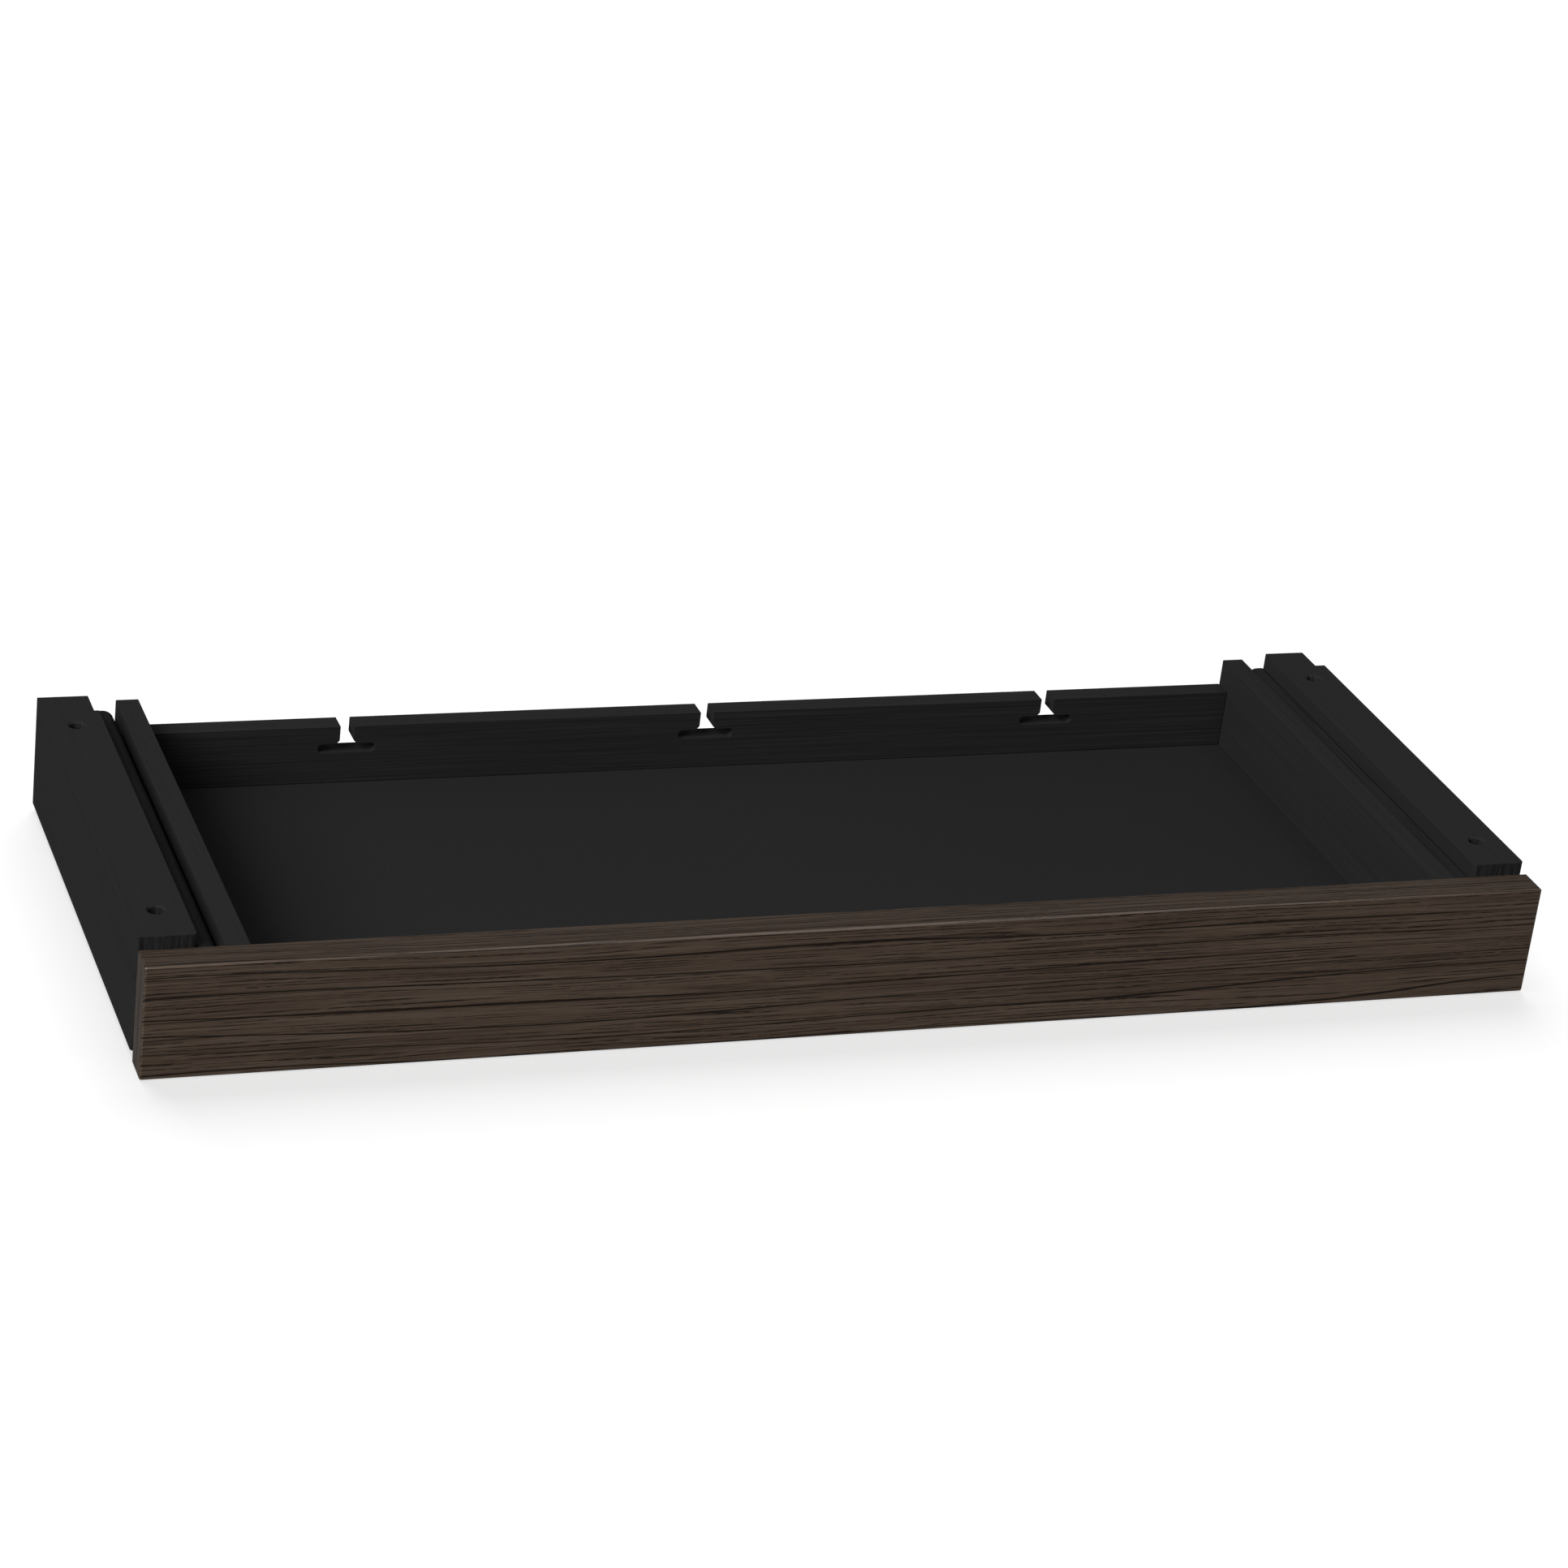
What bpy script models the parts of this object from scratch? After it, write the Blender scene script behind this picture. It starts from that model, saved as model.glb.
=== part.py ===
"""Under-desk drawer: two mounting blocks, two ball-bearing slides and a shallow drawer with a cable rail.

Metres, +Z up. The drawer opens towards -Y. The origin is the middle of the mounting plane, where the
tops of the two blocks meet the underside of a desk, so everything hangs below Z = 0.
"""

import math

import bmesh
import bpy
from mathutils import Matrix, Vector

# Front panel
PANEL_WIDTH = 0.730
PANEL_HEIGHT = 0.060
PANEL_THICKNESS = 0.018
PANEL_EDGE = 0.0010  # rounding of its edges
PANEL_TOP_Z = -0.0041  # the clearance that lets the panel slide past the desk

# Mounting blocks
BLOCK_WIDTH = 0.029
BLOCK_LENGTH = 0.266
BLOCK_HEIGHT = 0.061
BLOCK_CORNER = 0.0022  # rounding of the front corners
BLOCK_HOLE_RADIUS = 0.004
BLOCK_HOLE_FRONT = 0.0265  # from the block's front end
BLOCK_HOLE_REAR = 0.231
REBATE_LENGTH = 0.018  # at the rear end of each block, on its +X side
REBATE_DEPTH = {-1: 0.0025, 1: 0.0058}
PANEL_TO_BLOCK = 0.0047

# Drawer box
SLIDE_SPACE = 0.0127  # between a block and a drawer side
SIDE_THICKNESS = 0.012
SIDE_HEIGHT = 0.056
SIDE_BELOW_PANEL_TOP = 0.0002
DRAWER_LENGTH = 0.2735  # behind the front panel
RAIL_THICKNESS = 0.012
RAIL_TOP_BELOW_PANEL_TOP = 0.015
BOTTOM_THICKNESS = 0.006
BOTTOM_TOP_ABOVE_PANEL_FOOT = 0.012
GROOVE_DEPTH = 0.004  # in the sides and the panel, for the drawer bottom

# Cable slots in the back rail
SLOT_SPACING = 0.201
SLOT_NECK = 0.0074
SLOT_WIDTH = 0.031
SLOT_HEIGHT = 0.0050
SLOT_ROOF_BELOW_RAIL_TOP = 0.0102
SLOT_FLARE = 0.0019  # chamfer between the neck and the wide part

# Slides, in a section whose depth starts at the block and whose height starts at the slide's middle
SLIDE_MIDDLE_ABOVE_PANEL_FOOT = 0.0336
SLIDE_LENGTH = 0.262
SHEET = 0.0012
WEB_BEND = 0.0019  # outer radius of a member's bend beside its web
OUTER_DEPTH = (0.0003, 0.0112)
OUTER_HALF_HEIGHT = 0.0225
OUTER_LIP = 0.0070
OUTER_LIP_BEND = 0.0063  # the wide bend that the outer balls run in
MIDDLE_DEPTH = (0.0034, 0.0094)
MIDDLE_HALF_HEIGHT = 0.0169
MIDDLE_SETBACK = 0.002  # of its front end behind the slide's
INNER_DEPTH = (0.0052, 0.0124)
INNER_HALF_HEIGHT = 0.0123
BUMPER_LENGTH = 0.0055
BUMPER_HALF_HEIGHT = 0.0079
BUMPER_EDGE = 0.0006
BUMPER_CLEARANCE = 0.0012  # in front of it, for the moving members
OUTER_BALLS_DEPTH = 0.0052
INNER_BALLS_DEPTH = 0.0076
BALL_STRIP_LENGTH = 0.120
BALL_STRIP_START = 0.070  # from the slide's front end
BALL_STRIP_THICKNESS = 0.0005
BALL_STRIP_SHARE = 1.2  # its half width over a ball's radius
BALLS_PER_STRIP = 8

# Release lever on the inner member
LEVER_PIVOT_Y = 0.150  # from the slide's front end
LEVER_LENGTH = 0.062
LEVER_DEPTH = (0.0066, 0.0102)
LEVER_HALF_HEIGHT = 0.0032
LEVER_WAIST = 0.6  # half height at its middle over that at its ends
LEVER_HEEL_SHARE = 0.9  # rounding of its pivot end over its half height
LEVER_WAIST_BEND = 0.004
LEVER_TIP_BEND = 0.0008
RIVET_RADIUS = 0.0015
RIVET_HEAD_SHARE = 0.8  # its head's radius over the lever's half height
RIVET_HEAD_HEIGHT = 0.0006

# Fasteners
SCREW_RADIUS = 0.0017
SCREW_HEAD_RADIUS = 0.0033
SCREW_HEAD_HEIGHT = 0.0012
BLOCK_SCREW_LENGTH = 0.016
SIDE_SCREW_LENGTH = 0.010
RAIL_SCREW_LENGTH = 0.030
BOTTOM_SCREW_LENGTH = 0.018
COUNTERSUNK_HEIGHT = 0.0020
BLOCK_SCREWS_FROM_ENDS = (0.045, 0.055)  # of the slide: front, rear
SIDE_SCREWS_FROM_ENDS = (0.035, 0.028)
RAIL_SCREW_SHARES = (0.22, 0.76)  # of the rail's height: lower, upper
BOTTOM_SCREW_X = (-0.290, -0.100, 0.100, 0.290)
DOWEL_RADIUS = 0.003
DOWEL_LENGTH = 0.030
DOWEL_IN_PANEL = 0.010
LOWER_DOWEL_ABOVE_SIDE_FOOT = 0.018
UPPER_DOWEL_BELOW_SIDE_TOP = 0.012

GAP = 0.0003  # between touching pieces
FIT = 0.0002  # round a screw, rivet or dowel
OVERRUN = 0.002  # how far a cutter runs past the face it opens

# Places worked out from the sizes above
PANEL_FOOT_Z = PANEL_TOP_Z - PANEL_HEIGHT
BLOCK_FACE_X = PANEL_WIDTH / 2 - BLOCK_WIDTH
SIDE_OUTER_X = BLOCK_FACE_X - SLIDE_SPACE
SIDE_INNER_X = SIDE_OUTER_X - SIDE_THICKNESS
BLOCK_FRONT_Y = -BLOCK_LENGTH / 2
BLOCK_REAR_Y = BLOCK_LENGTH / 2
PANEL_REAR_Y = BLOCK_FRONT_Y - PANEL_TO_BLOCK
PANEL_FRONT_Y = PANEL_REAR_Y - PANEL_THICKNESS
DRAWER_REAR_Y = PANEL_REAR_Y + DRAWER_LENGTH
RAIL_FRONT_Y = DRAWER_REAR_Y - RAIL_THICKNESS
RAIL_MIDDLE_Y = (RAIL_FRONT_Y + DRAWER_REAR_Y) / 2
SIDE_TOP_Z = PANEL_TOP_Z - SIDE_BELOW_PANEL_TOP
SIDE_FOOT_Z = SIDE_TOP_Z - SIDE_HEIGHT
RAIL_TOP_Z = PANEL_TOP_Z - RAIL_TOP_BELOW_PANEL_TOP
BOTTOM_TOP_Z = PANEL_FOOT_Z + BOTTOM_TOP_ABOVE_PANEL_FOOT
BOTTOM_FOOT_Z = BOTTOM_TOP_Z - BOTTOM_THICKNESS
RAIL_FOOT_Z = BOTTOM_TOP_Z + GAP
SLIDE_Z = PANEL_FOOT_Z + SLIDE_MIDDLE_ABOVE_PANEL_FOOT
SLIDE_FRONT_Y = BLOCK_FRONT_Y + (BLOCK_LENGTH - SLIDE_LENGTH) / 2
SLIDE_REAR_Y = SLIDE_FRONT_Y + SLIDE_LENGTH
MOVING_REAR_Y = SLIDE_REAR_Y - BUMPER_LENGTH - BUMPER_CLEARANCE
BLOCK_SCREW_Y = {
    "front": SLIDE_FRONT_Y + BLOCK_SCREWS_FROM_ENDS[0],
    "rear": SLIDE_REAR_Y - BLOCK_SCREWS_FROM_ENDS[1],
}
SIDE_SCREW_Y = {
    "front": SLIDE_FRONT_Y + SIDE_SCREWS_FROM_ENDS[0],
    "rear": SLIDE_REAR_Y - SIDE_SCREWS_FROM_ENDS[1],
}
SIDES = {"left": -1, "right": 1}

X_AXIS = Vector((1, 0, 0))
Z_AXIS = Vector((0, 0, 1))


def clear_scene():
    for obj in list(bpy.data.objects):
        bpy.data.objects.remove(obj)


def linear(hex_colour):
    """An sRGB hex colour as the linear RGBA that a shader takes."""
    channels = [int(hex_colour[i : i + 2], 16) / 255 for i in (0, 2, 4)]
    return [c / 12.92 if c <= 0.04045 else ((c + 0.055) / 1.055) ** 2.4 for c in channels] + [1.0]


def material(name, hex_colour, roughness, metallic=0.0):
    made = bpy.data.materials.new(name)
    made.use_nodes = True
    shader = made.node_tree.nodes["Principled BSDF"]
    shader.inputs["Base Color"].default_value = linear(hex_colour)
    shader.inputs["Roughness"].default_value = roughness
    shader.inputs["Metallic"].default_value = metallic
    return made


def group(name, location=(0, 0, 0)):
    """An empty that the pieces moving together are parented to."""
    empty = bpy.data.objects.new(name, None)
    empty.location = location
    bpy.context.scene.collection.objects.link(empty)
    return empty


def add_object(name, mesh_builder, place, finish=None, parent=None):
    """An object at place from a bmesh whose points are given about that place."""
    mesh = bpy.data.meshes.new(name)
    bmesh.ops.recalc_face_normals(mesh_builder, faces=mesh_builder.faces)
    mesh_builder.to_mesh(mesh)
    mesh_builder.free()
    obj = bpy.data.objects.new(name, mesh)
    bpy.context.scene.collection.objects.link(obj)
    obj.location = Vector(place) - (parent.location if parent else Vector())
    obj.parent = parent
    if finish:
        mesh.materials.append(finish)
    return obj


def box(name, low, high, finish=None, parent=None, edge=0.0):
    """A block between two corners, with its edges rounded by a Bevel."""
    low, high = Vector(low), Vector(high)
    builder = bmesh.new()
    bmesh.ops.create_cube(builder, size=1.0, matrix=Matrix.Diagonal((*(high - low), 1)))
    obj = add_object(name, builder, (low + high) / 2, finish, parent)
    if edge:
        bevel = obj.modifiers.new("rounded_edges", "BEVEL")
        bevel.width = edge
        bevel.segments = 2
    return obj


def rounded(points, radii, steps=3):
    """The outline through the points, with an arc of the given radius at each corner whose radius isn't 0."""
    outline = []
    count = len(points)
    for i, radius in enumerate(radii):
        corner = Vector(points[i])
        if not radius:
            outline.append(corner)
            continue
        before = (Vector(points[i - 1]) - corner).normalized()
        after = (Vector(points[(i + 1) % count]) - corner).normalized()
        half_angle = before.angle(after) / 2
        centre = corner + (before + after).normalized() * radius / math.sin(half_angle)
        start = (corner + before * radius / math.tan(half_angle) - centre).normalized()
        end = (corner + after * radius / math.tan(half_angle) - centre).normalized()
        for step in range(steps + 1):
            outline.append(centre + start.slerp(end, step / steps) * radius)
    return outline


def prism(name, outline, low, high, place, finish=None, parent=None, upright=False):
    """The outline drawn out from low to high: along Z when upright, with (x, y) points, or along Y, with (x, z)."""
    builder = bmesh.new()
    if upright:
        corners = [builder.verts.new((x, y, low)) for x, y in outline]
        run = Vector((0, 0, high - low))
    else:
        corners = [builder.verts.new((x, low, z)) for x, z in outline]
        run = Vector((0, high - low, 0))
    extruded = bmesh.ops.extrude_face_region(builder, geom=[builder.faces.new(corners)])
    moved = [item for item in extruded["geom"] if isinstance(item, bmesh.types.BMVert)]
    bmesh.ops.translate(builder, verts=moved, vec=run)
    return add_object(name, builder, place, finish, parent)


def turned(name, profile, place, direction, finish=None, parent=None, sides=12):
    """The (radius, distance along direction) profile spun about an axis through place."""
    builder = bmesh.new()
    ring = [builder.verts.new((radius, 0, along)) for radius, along in profile]
    edges = [builder.edges.new(pair) for pair in zip(ring, ring[1:])]
    bmesh.ops.spin(builder, geom=ring + edges, cent=(0, 0, 0), axis=Z_AXIS, steps=sides, angle=2 * math.pi)
    bmesh.ops.remove_doubles(builder, verts=builder.verts, dist=1e-6)
    turn = Z_AXIS.rotation_difference(Vector(direction)).to_matrix()
    bmesh.ops.rotate(builder, verts=builder.verts, cent=(0, 0, 0), matrix=turn)
    obj = add_object(name, builder, place, finish, parent)
    obj.data.shade_smooth()
    obj.data.set_sharp_from_angle(angle=math.radians(35))
    return obj


def combine(obj, other, operation):
    """A Boolean of obj with a helper that isn't rendered."""
    other.hide_render = True
    other.display_type = "WIRE"
    other.parent = obj.parent
    boolean = obj.modifiers.new(other.name, "BOOLEAN")
    boolean.operation = operation
    boolean.solver = "EXACT"
    boolean.object = other


def drill(obj, radius, place, direction, depth):
    """A round hole from the face at place, as deep as depth in direction."""
    name = f"{obj.name}_drill"
    profile = [(0, -OVERRUN), (radius, -OVERRUN), (radius, depth), (0, depth)]
    combine(obj, turned(name, profile, place, direction, parent=obj.parent), "DIFFERENCE")


def pan_screw(name, place, direction, length, finish, parent):
    """A low round head whose underside is at place, with a pointed shank along direction."""
    profile = [
        (0, -SCREW_HEAD_HEIGHT),
        (SCREW_HEAD_RADIUS * 0.7, -SCREW_HEAD_HEIGHT),
        (SCREW_HEAD_RADIUS, -SCREW_HEAD_HEIGHT * 0.4),
        (SCREW_HEAD_RADIUS, 0),
        (SCREW_RADIUS, 0),
        (SCREW_RADIUS, length - 2 * SCREW_RADIUS),
        (0, length),
    ]
    return turned(name, profile, place, direction, finish, parent)


def countersunk_screw(name, place, direction, length, finish, parent):
    """A flat head flush with the face at place, with a pointed shank along direction."""
    profile = [
        (0, 0),
        (SCREW_HEAD_RADIUS, 0),
        (SCREW_RADIUS, COUNTERSUNK_HEIGHT),
        (SCREW_RADIUS, length - 2 * SCREW_RADIUS),
        (0, length),
    ]
    return turned(name, profile, place, direction, finish, parent)


def countersink(obj, place, direction):
    """A conical seat for the head of a countersunk screw, and a clearance hole behind it."""
    wide = SCREW_HEAD_RADIUS + FIT
    narrow = SCREW_RADIUS + FIT
    profile = [
        (0, -OVERRUN),
        (wide, -OVERRUN),
        (wide, FIT),
        (narrow, COUNTERSUNK_HEIGHT + FIT),
        (narrow, SIDE_THICKNESS + OVERRUN),
        (0, SIDE_THICKNESS + OVERRUN),
    ]
    cutter = turned(f"{obj.name}_seat", profile, place, direction, parent=obj.parent)
    combine(obj, cutter, "DIFFERENCE")


def channel(depth, half_height, lip=0.0, lip_bend=0.0):
    """Half-open steel section as (depth, height) points: a web at the first depth, and two flanges that reach
    to the second. Where lip isn't 0, each flange turns inwards round lip_bend and ends that far down."""
    web, mouth = depth
    inward = SHEET if mouth > web else -SHEET
    top = half_height
    inner_bend = WEB_BEND - SHEET
    if lip:
        upper = [
            (web + inward, top - SHEET, inner_bend),
            (mouth - inward, top - SHEET, lip_bend - SHEET),
            (mouth - inward, top - lip, 0.0),
            (mouth, top - lip, 0.0),
            (mouth, top, lip_bend),
            (web, top, WEB_BEND),
        ]
    else:
        upper = [
            (web + inward, top - SHEET, inner_bend),
            (mouth, top - SHEET, 0.0),
            (mouth, top, 0.0),
            (web, top, WEB_BEND),
        ]
    corners = upper + [(d, -h, radius) for d, h, radius in reversed(upper)]
    return rounded([(d, h) for d, h, _ in corners], [radius for _, _, radius in corners])


def slide_member(name, section, side, front, rear, finish, parent):
    """A section of (depth, height) points drawn along the slide, on the given side of the drawer."""
    outline = [(-side * depth, height) for depth, height in section]
    place = (side * BLOCK_FACE_X, 0, SLIDE_Z)
    return prism(name, outline, front, rear, place, finish, parent)


def ball_strip(name, side, depth, height, radius, finish, parent):
    """A thin retainer strip with its row of balls, running along Y at one height of the slide."""
    x = side * (BLOCK_FACE_X - depth)
    z = SLIDE_Z + height
    front = SLIDE_FRONT_Y + BALL_STRIP_START
    half_width = radius * BALL_STRIP_SHARE
    half_thickness = BALL_STRIP_THICKNESS / 2
    strip = box(
        name,
        (x - half_width, front, z - half_thickness),
        (x + half_width, front + BALL_STRIP_LENGTH, z + half_thickness),
        finish,
        parent,
    )
    pitch = BALL_STRIP_LENGTH / BALLS_PER_STRIP
    middle = front + BALL_STRIP_LENGTH / 2
    builder = bmesh.new()
    for i in range(BALLS_PER_STRIP):
        along = (i + 0.5) * pitch - BALL_STRIP_LENGTH / 2
        centre = Matrix.Translation((0, along, 0))
        bmesh.ops.create_uvsphere(builder, u_segments=6, v_segments=4, radius=radius, matrix=centre)
    balls = add_object(f"{name}_row", builder, (x, middle, z), parent=parent)
    combine(strip, balls, "UNION")
    return strip


def mounting_block(name, side, finish, parent):
    """A wooden block with two through holes for the desk screws and a rebate at its rear end."""
    low_x = BLOCK_FACE_X if side > 0 else -PANEL_WIDTH / 2
    high_x = low_x + BLOCK_WIDTH
    narrow_x = high_x - REBATE_DEPTH[side]
    rebate_y = BLOCK_REAR_Y - REBATE_LENGTH
    points = [
        (low_x, BLOCK_FRONT_Y),
        (high_x, BLOCK_FRONT_Y),
        (high_x, rebate_y),
        (narrow_x, rebate_y),
        (narrow_x, BLOCK_REAR_Y),
        (low_x, BLOCK_REAR_Y),
    ]
    outline = rounded(points, [BLOCK_CORNER, BLOCK_CORNER, 0, 0, 0, 0])
    block = prism(name, outline, -BLOCK_HEIGHT, 0, (0, 0, 0), finish, parent, upright=True)
    middle_x = side * (PANEL_WIDTH - BLOCK_WIDTH) / 2
    for from_front in (BLOCK_HOLE_FRONT, BLOCK_HOLE_REAR):
        top = (middle_x, BLOCK_FRONT_Y + from_front, 0)
        drill(block, BLOCK_HOLE_RADIUS, top, -Z_AXIS, BLOCK_HEIGHT + OVERRUN)
    for y in BLOCK_SCREW_Y.values():
        face = (side * BLOCK_FACE_X, y, SLIDE_Z)
        drill(block, SCREW_RADIUS + FIT, face, side * X_AXIS, BLOCK_SCREW_LENGTH + FIT)


def dowel_places(side):
    """The two dowel axes of one drawer side, at the panel's rear face, by name."""
    x = side * (SIDE_OUTER_X + SIDE_INNER_X) / 2
    return {
        "lower": Vector((x, PANEL_REAR_Y, SIDE_FOOT_Z + LOWER_DOWEL_ABOVE_SIDE_FOOT)),
        "upper": Vector((x, PANEL_REAR_Y, SIDE_TOP_Z - UPPER_DOWEL_BELOW_SIDE_TOP)),
    }


def front_panel(finish, parent):
    """The veneered board, with a groove for the drawer bottom and blind dowel holes in its rear face."""
    half = PANEL_WIDTH / 2
    low = (-half, PANEL_FRONT_Y, PANEL_FOOT_Z)
    panel = box("front_panel", low, (half, PANEL_REAR_Y, PANEL_TOP_Z), finish, parent, PANEL_EDGE)
    reach = SIDE_INNER_X + GROOVE_DEPTH + GAP
    groove = box(
        "front_panel_groove",
        (-reach, PANEL_REAR_Y - GROOVE_DEPTH - GAP, BOTTOM_FOOT_Z - GAP),
        (reach, PANEL_REAR_Y + OVERRUN, BOTTOM_TOP_Z + GAP),
        parent=parent,
    )
    combine(panel, groove, "DIFFERENCE")
    for side in SIDES.values():
        for place in dowel_places(side).values():
            drill(panel, DOWEL_RADIUS + FIT, place, (0, -1, 0), DOWEL_IN_PANEL + FIT)


def drawer_side(name, side, finish, parent):
    """A side board, grooved for the drawer bottom, drilled for its dowels and screws."""
    points = [
        (SIDE_INNER_X, SIDE_TOP_Z),
        (SIDE_OUTER_X, SIDE_TOP_Z),
        (SIDE_OUTER_X, SIDE_FOOT_Z),
        (SIDE_INNER_X, SIDE_FOOT_Z),
        (SIDE_INNER_X, BOTTOM_FOOT_Z - GAP),
        (SIDE_INNER_X + GROOVE_DEPTH + GAP, BOTTOM_FOOT_Z - GAP),
        (SIDE_INNER_X + GROOVE_DEPTH + GAP, BOTTOM_TOP_Z + GAP),
        (SIDE_INNER_X, BOTTOM_TOP_Z + GAP),
    ]
    outline = [(side * x, z) for x, z in points]
    board = prism(name, outline, PANEL_REAR_Y + GAP, DRAWER_REAR_Y, (0, 0, 0), finish, parent)
    for place in dowel_places(side).values():
        drill(board, DOWEL_RADIUS + FIT, place, (0, 1, 0), DOWEL_LENGTH - DOWEL_IN_PANEL + FIT)
    for y in SIDE_SCREW_Y.values():
        face = (side * SIDE_OUTER_X, y, SLIDE_Z)
        drill(board, SCREW_RADIUS + FIT, face, -side * X_AXIS, SIDE_SCREW_LENGTH + FIT)
    for height in rail_screw_heights().values():
        countersink(board, (side * SIDE_OUTER_X, RAIL_MIDDLE_Y, height), -side * X_AXIS)


def rail_screw_heights():
    lower, upper = (RAIL_FOOT_Z + share * (RAIL_TOP_Z - RAIL_FOOT_Z) for share in RAIL_SCREW_SHARES)
    return {"lower": lower, "upper": upper}


def bottom_screw_places():
    """The four screws that hold the drawer bottom up against the back rail, clear of the cable slots."""
    return [Vector((x, RAIL_MIDDLE_Y, BOTTOM_FOOT_Z)) for x in BOTTOM_SCREW_X]


def back_rail(finish, parent):
    """The rear board of the drawer, with three T-shaped cable slots that open at its top."""
    half = SIDE_INNER_X - GAP
    roof = RAIL_TOP_Z - SLOT_ROOF_BELOW_RAIL_TOP
    floor = roof - SLOT_HEIGHT
    points = [(half, RAIL_FOOT_Z), (half, RAIL_TOP_Z)]
    radii = [0, 0]
    for middle in (SLOT_SPACING, 0, -SLOT_SPACING):
        right = [
            (SLOT_NECK / 2, RAIL_TOP_Z, 0),
            (SLOT_NECK / 2, roof + SLOT_FLARE, 0),
            (SLOT_NECK / 2 + SLOT_FLARE, roof, 0),
            (SLOT_WIDTH / 2, roof, SLOT_HEIGHT / 2.01),
            (SLOT_WIDTH / 2, floor, SLOT_HEIGHT / 2.01),
        ]
        for x, z, radius in right + [(-x, z, radius) for x, z, radius in reversed(right)]:
            points.append((middle + x, z))
            radii.append(radius)
    points += [(-half, RAIL_TOP_Z), (-half, RAIL_FOOT_Z)]
    radii += [0, 0]
    outline = rounded(points, radii)
    rail = prism("back_rail", outline, RAIL_FRONT_Y, DRAWER_REAR_Y, (0, 0, 0), finish, parent)
    for side in SIDES.values():
        for height in rail_screw_heights().values():
            end = (side * half, RAIL_MIDDLE_Y, height)
            drill(rail, SCREW_RADIUS + FIT, end, -side * X_AXIS, RAIL_SCREW_LENGTH - SIDE_THICKNESS + FIT)
    for place in bottom_screw_places():
        foot = (place.x, place.y, RAIL_FOOT_Z)
        drill(rail, SCREW_RADIUS + FIT, foot, Z_AXIS, BOTTOM_SCREW_LENGTH - BOTTOM_THICKNESS + FIT)


def drawer_bottom(finish, parent):
    """The thin panel that runs in the grooves and under the back rail."""
    reach = SIDE_INNER_X + GROOVE_DEPTH
    low = (-reach, PANEL_REAR_Y - GROOVE_DEPTH, BOTTOM_FOOT_Z)
    bottom = box("drawer_bottom", low, (reach, DRAWER_REAR_Y, BOTTOM_TOP_Z), finish, parent)
    for place in bottom_screw_places():
        countersink(bottom, place, Z_AXIS)


def slide(tag, side, finishes, mount, drawer):
    """One ball-bearing slide: three nested steel members, its balls, release lever, stop bumper and screws."""
    steel, zinc, plastic = finishes
    middle_group = group(f"middle_{tag}")
    outer_group = group(f"outer_balls_{tag}")
    inner_group = group(f"inner_balls_{tag}")
    outer = slide_member(
        f"slide_outer_{tag}",
        channel(OUTER_DEPTH, OUTER_HALF_HEIGHT, OUTER_LIP, OUTER_LIP_BEND),
        side,
        SLIDE_FRONT_Y,
        SLIDE_REAR_Y,
        steel,
        mount,
    )
    slide_member(
        f"slide_middle_{tag}",
        channel(MIDDLE_DEPTH, MIDDLE_HALF_HEIGHT),
        side,
        SLIDE_FRONT_Y + MIDDLE_SETBACK,
        MOVING_REAR_Y,
        steel,
        middle_group,
    )
    inner = slide_member(
        f"slide_inner_{tag}",
        channel(INNER_DEPTH[::-1], INNER_HALF_HEIGHT),
        side,
        SLIDE_FRONT_Y,
        MOVING_REAR_Y,
        steel,
        drawer,
    )
    near, far = OUTER_DEPTH[0] + SHEET + GAP, OUTER_DEPTH[1] - SHEET
    low_x, high_x = sorted(side * (BLOCK_FACE_X - depth) for depth in (near, far))
    box(
        f"stop_bumper_{tag}",
        (low_x, SLIDE_REAR_Y - BUMPER_LENGTH, SLIDE_Z - BUMPER_HALF_HEIGHT),
        (high_x, SLIDE_REAR_Y - GAP, SLIDE_Z + BUMPER_HALF_HEIGHT),
        plastic,
        mount,
        edge=BUMPER_EDGE,
    )
    outer_inside = OUTER_HALF_HEIGHT - SHEET
    middle_inside = MIDDLE_HALF_HEIGHT - SHEET
    rows = (
        ("outer", outer_group, outer_inside, MIDDLE_HALF_HEIGHT, OUTER_BALLS_DEPTH),
        ("inner", inner_group, middle_inside, INNER_HALF_HEIGHT, INNER_BALLS_DEPTH),
    )
    for row, parent, above, below, depth in rows:
        radius = (above - below) / 2 - FIT
        for level, way in (("upper", 1), ("lower", -1)):
            height = way * (above + below) / 2
            ball_strip(f"{row}_balls_{level}_{tag}", side, depth, height, radius, zinc, parent)
    for end, y in BLOCK_SCREW_Y.items():
        web = side * (BLOCK_FACE_X - OUTER_DEPTH[0])
        drill(outer, SCREW_RADIUS + FIT, (web + side * OVERRUN, y, SLIDE_Z), -side * X_AXIS, 3 * OVERRUN)
        seat = (web - side * (SHEET + GAP), y, SLIDE_Z)
        length = BLOCK_SCREW_LENGTH + SHEET
        pan_screw(f"block_screw_{end}_{tag}", seat, side * X_AXIS, length, zinc, mount)
    for end, y in SIDE_SCREW_Y.items():
        web = side * (BLOCK_FACE_X - INNER_DEPTH[1])
        drill(inner, SCREW_RADIUS + FIT, (web - side * OVERRUN, y, SLIDE_Z), side * X_AXIS, 3 * OVERRUN)
        seat = (web + side * (SHEET + GAP), y, SLIDE_Z)
        length = SIDE_SCREW_LENGTH + SHEET
        pan_screw(f"side_screw_{end}_{tag}", seat, -side * X_AXIS, length, zinc, drawer)
    release_lever(tag, side, inner, zinc, plastic, drawer)


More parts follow.
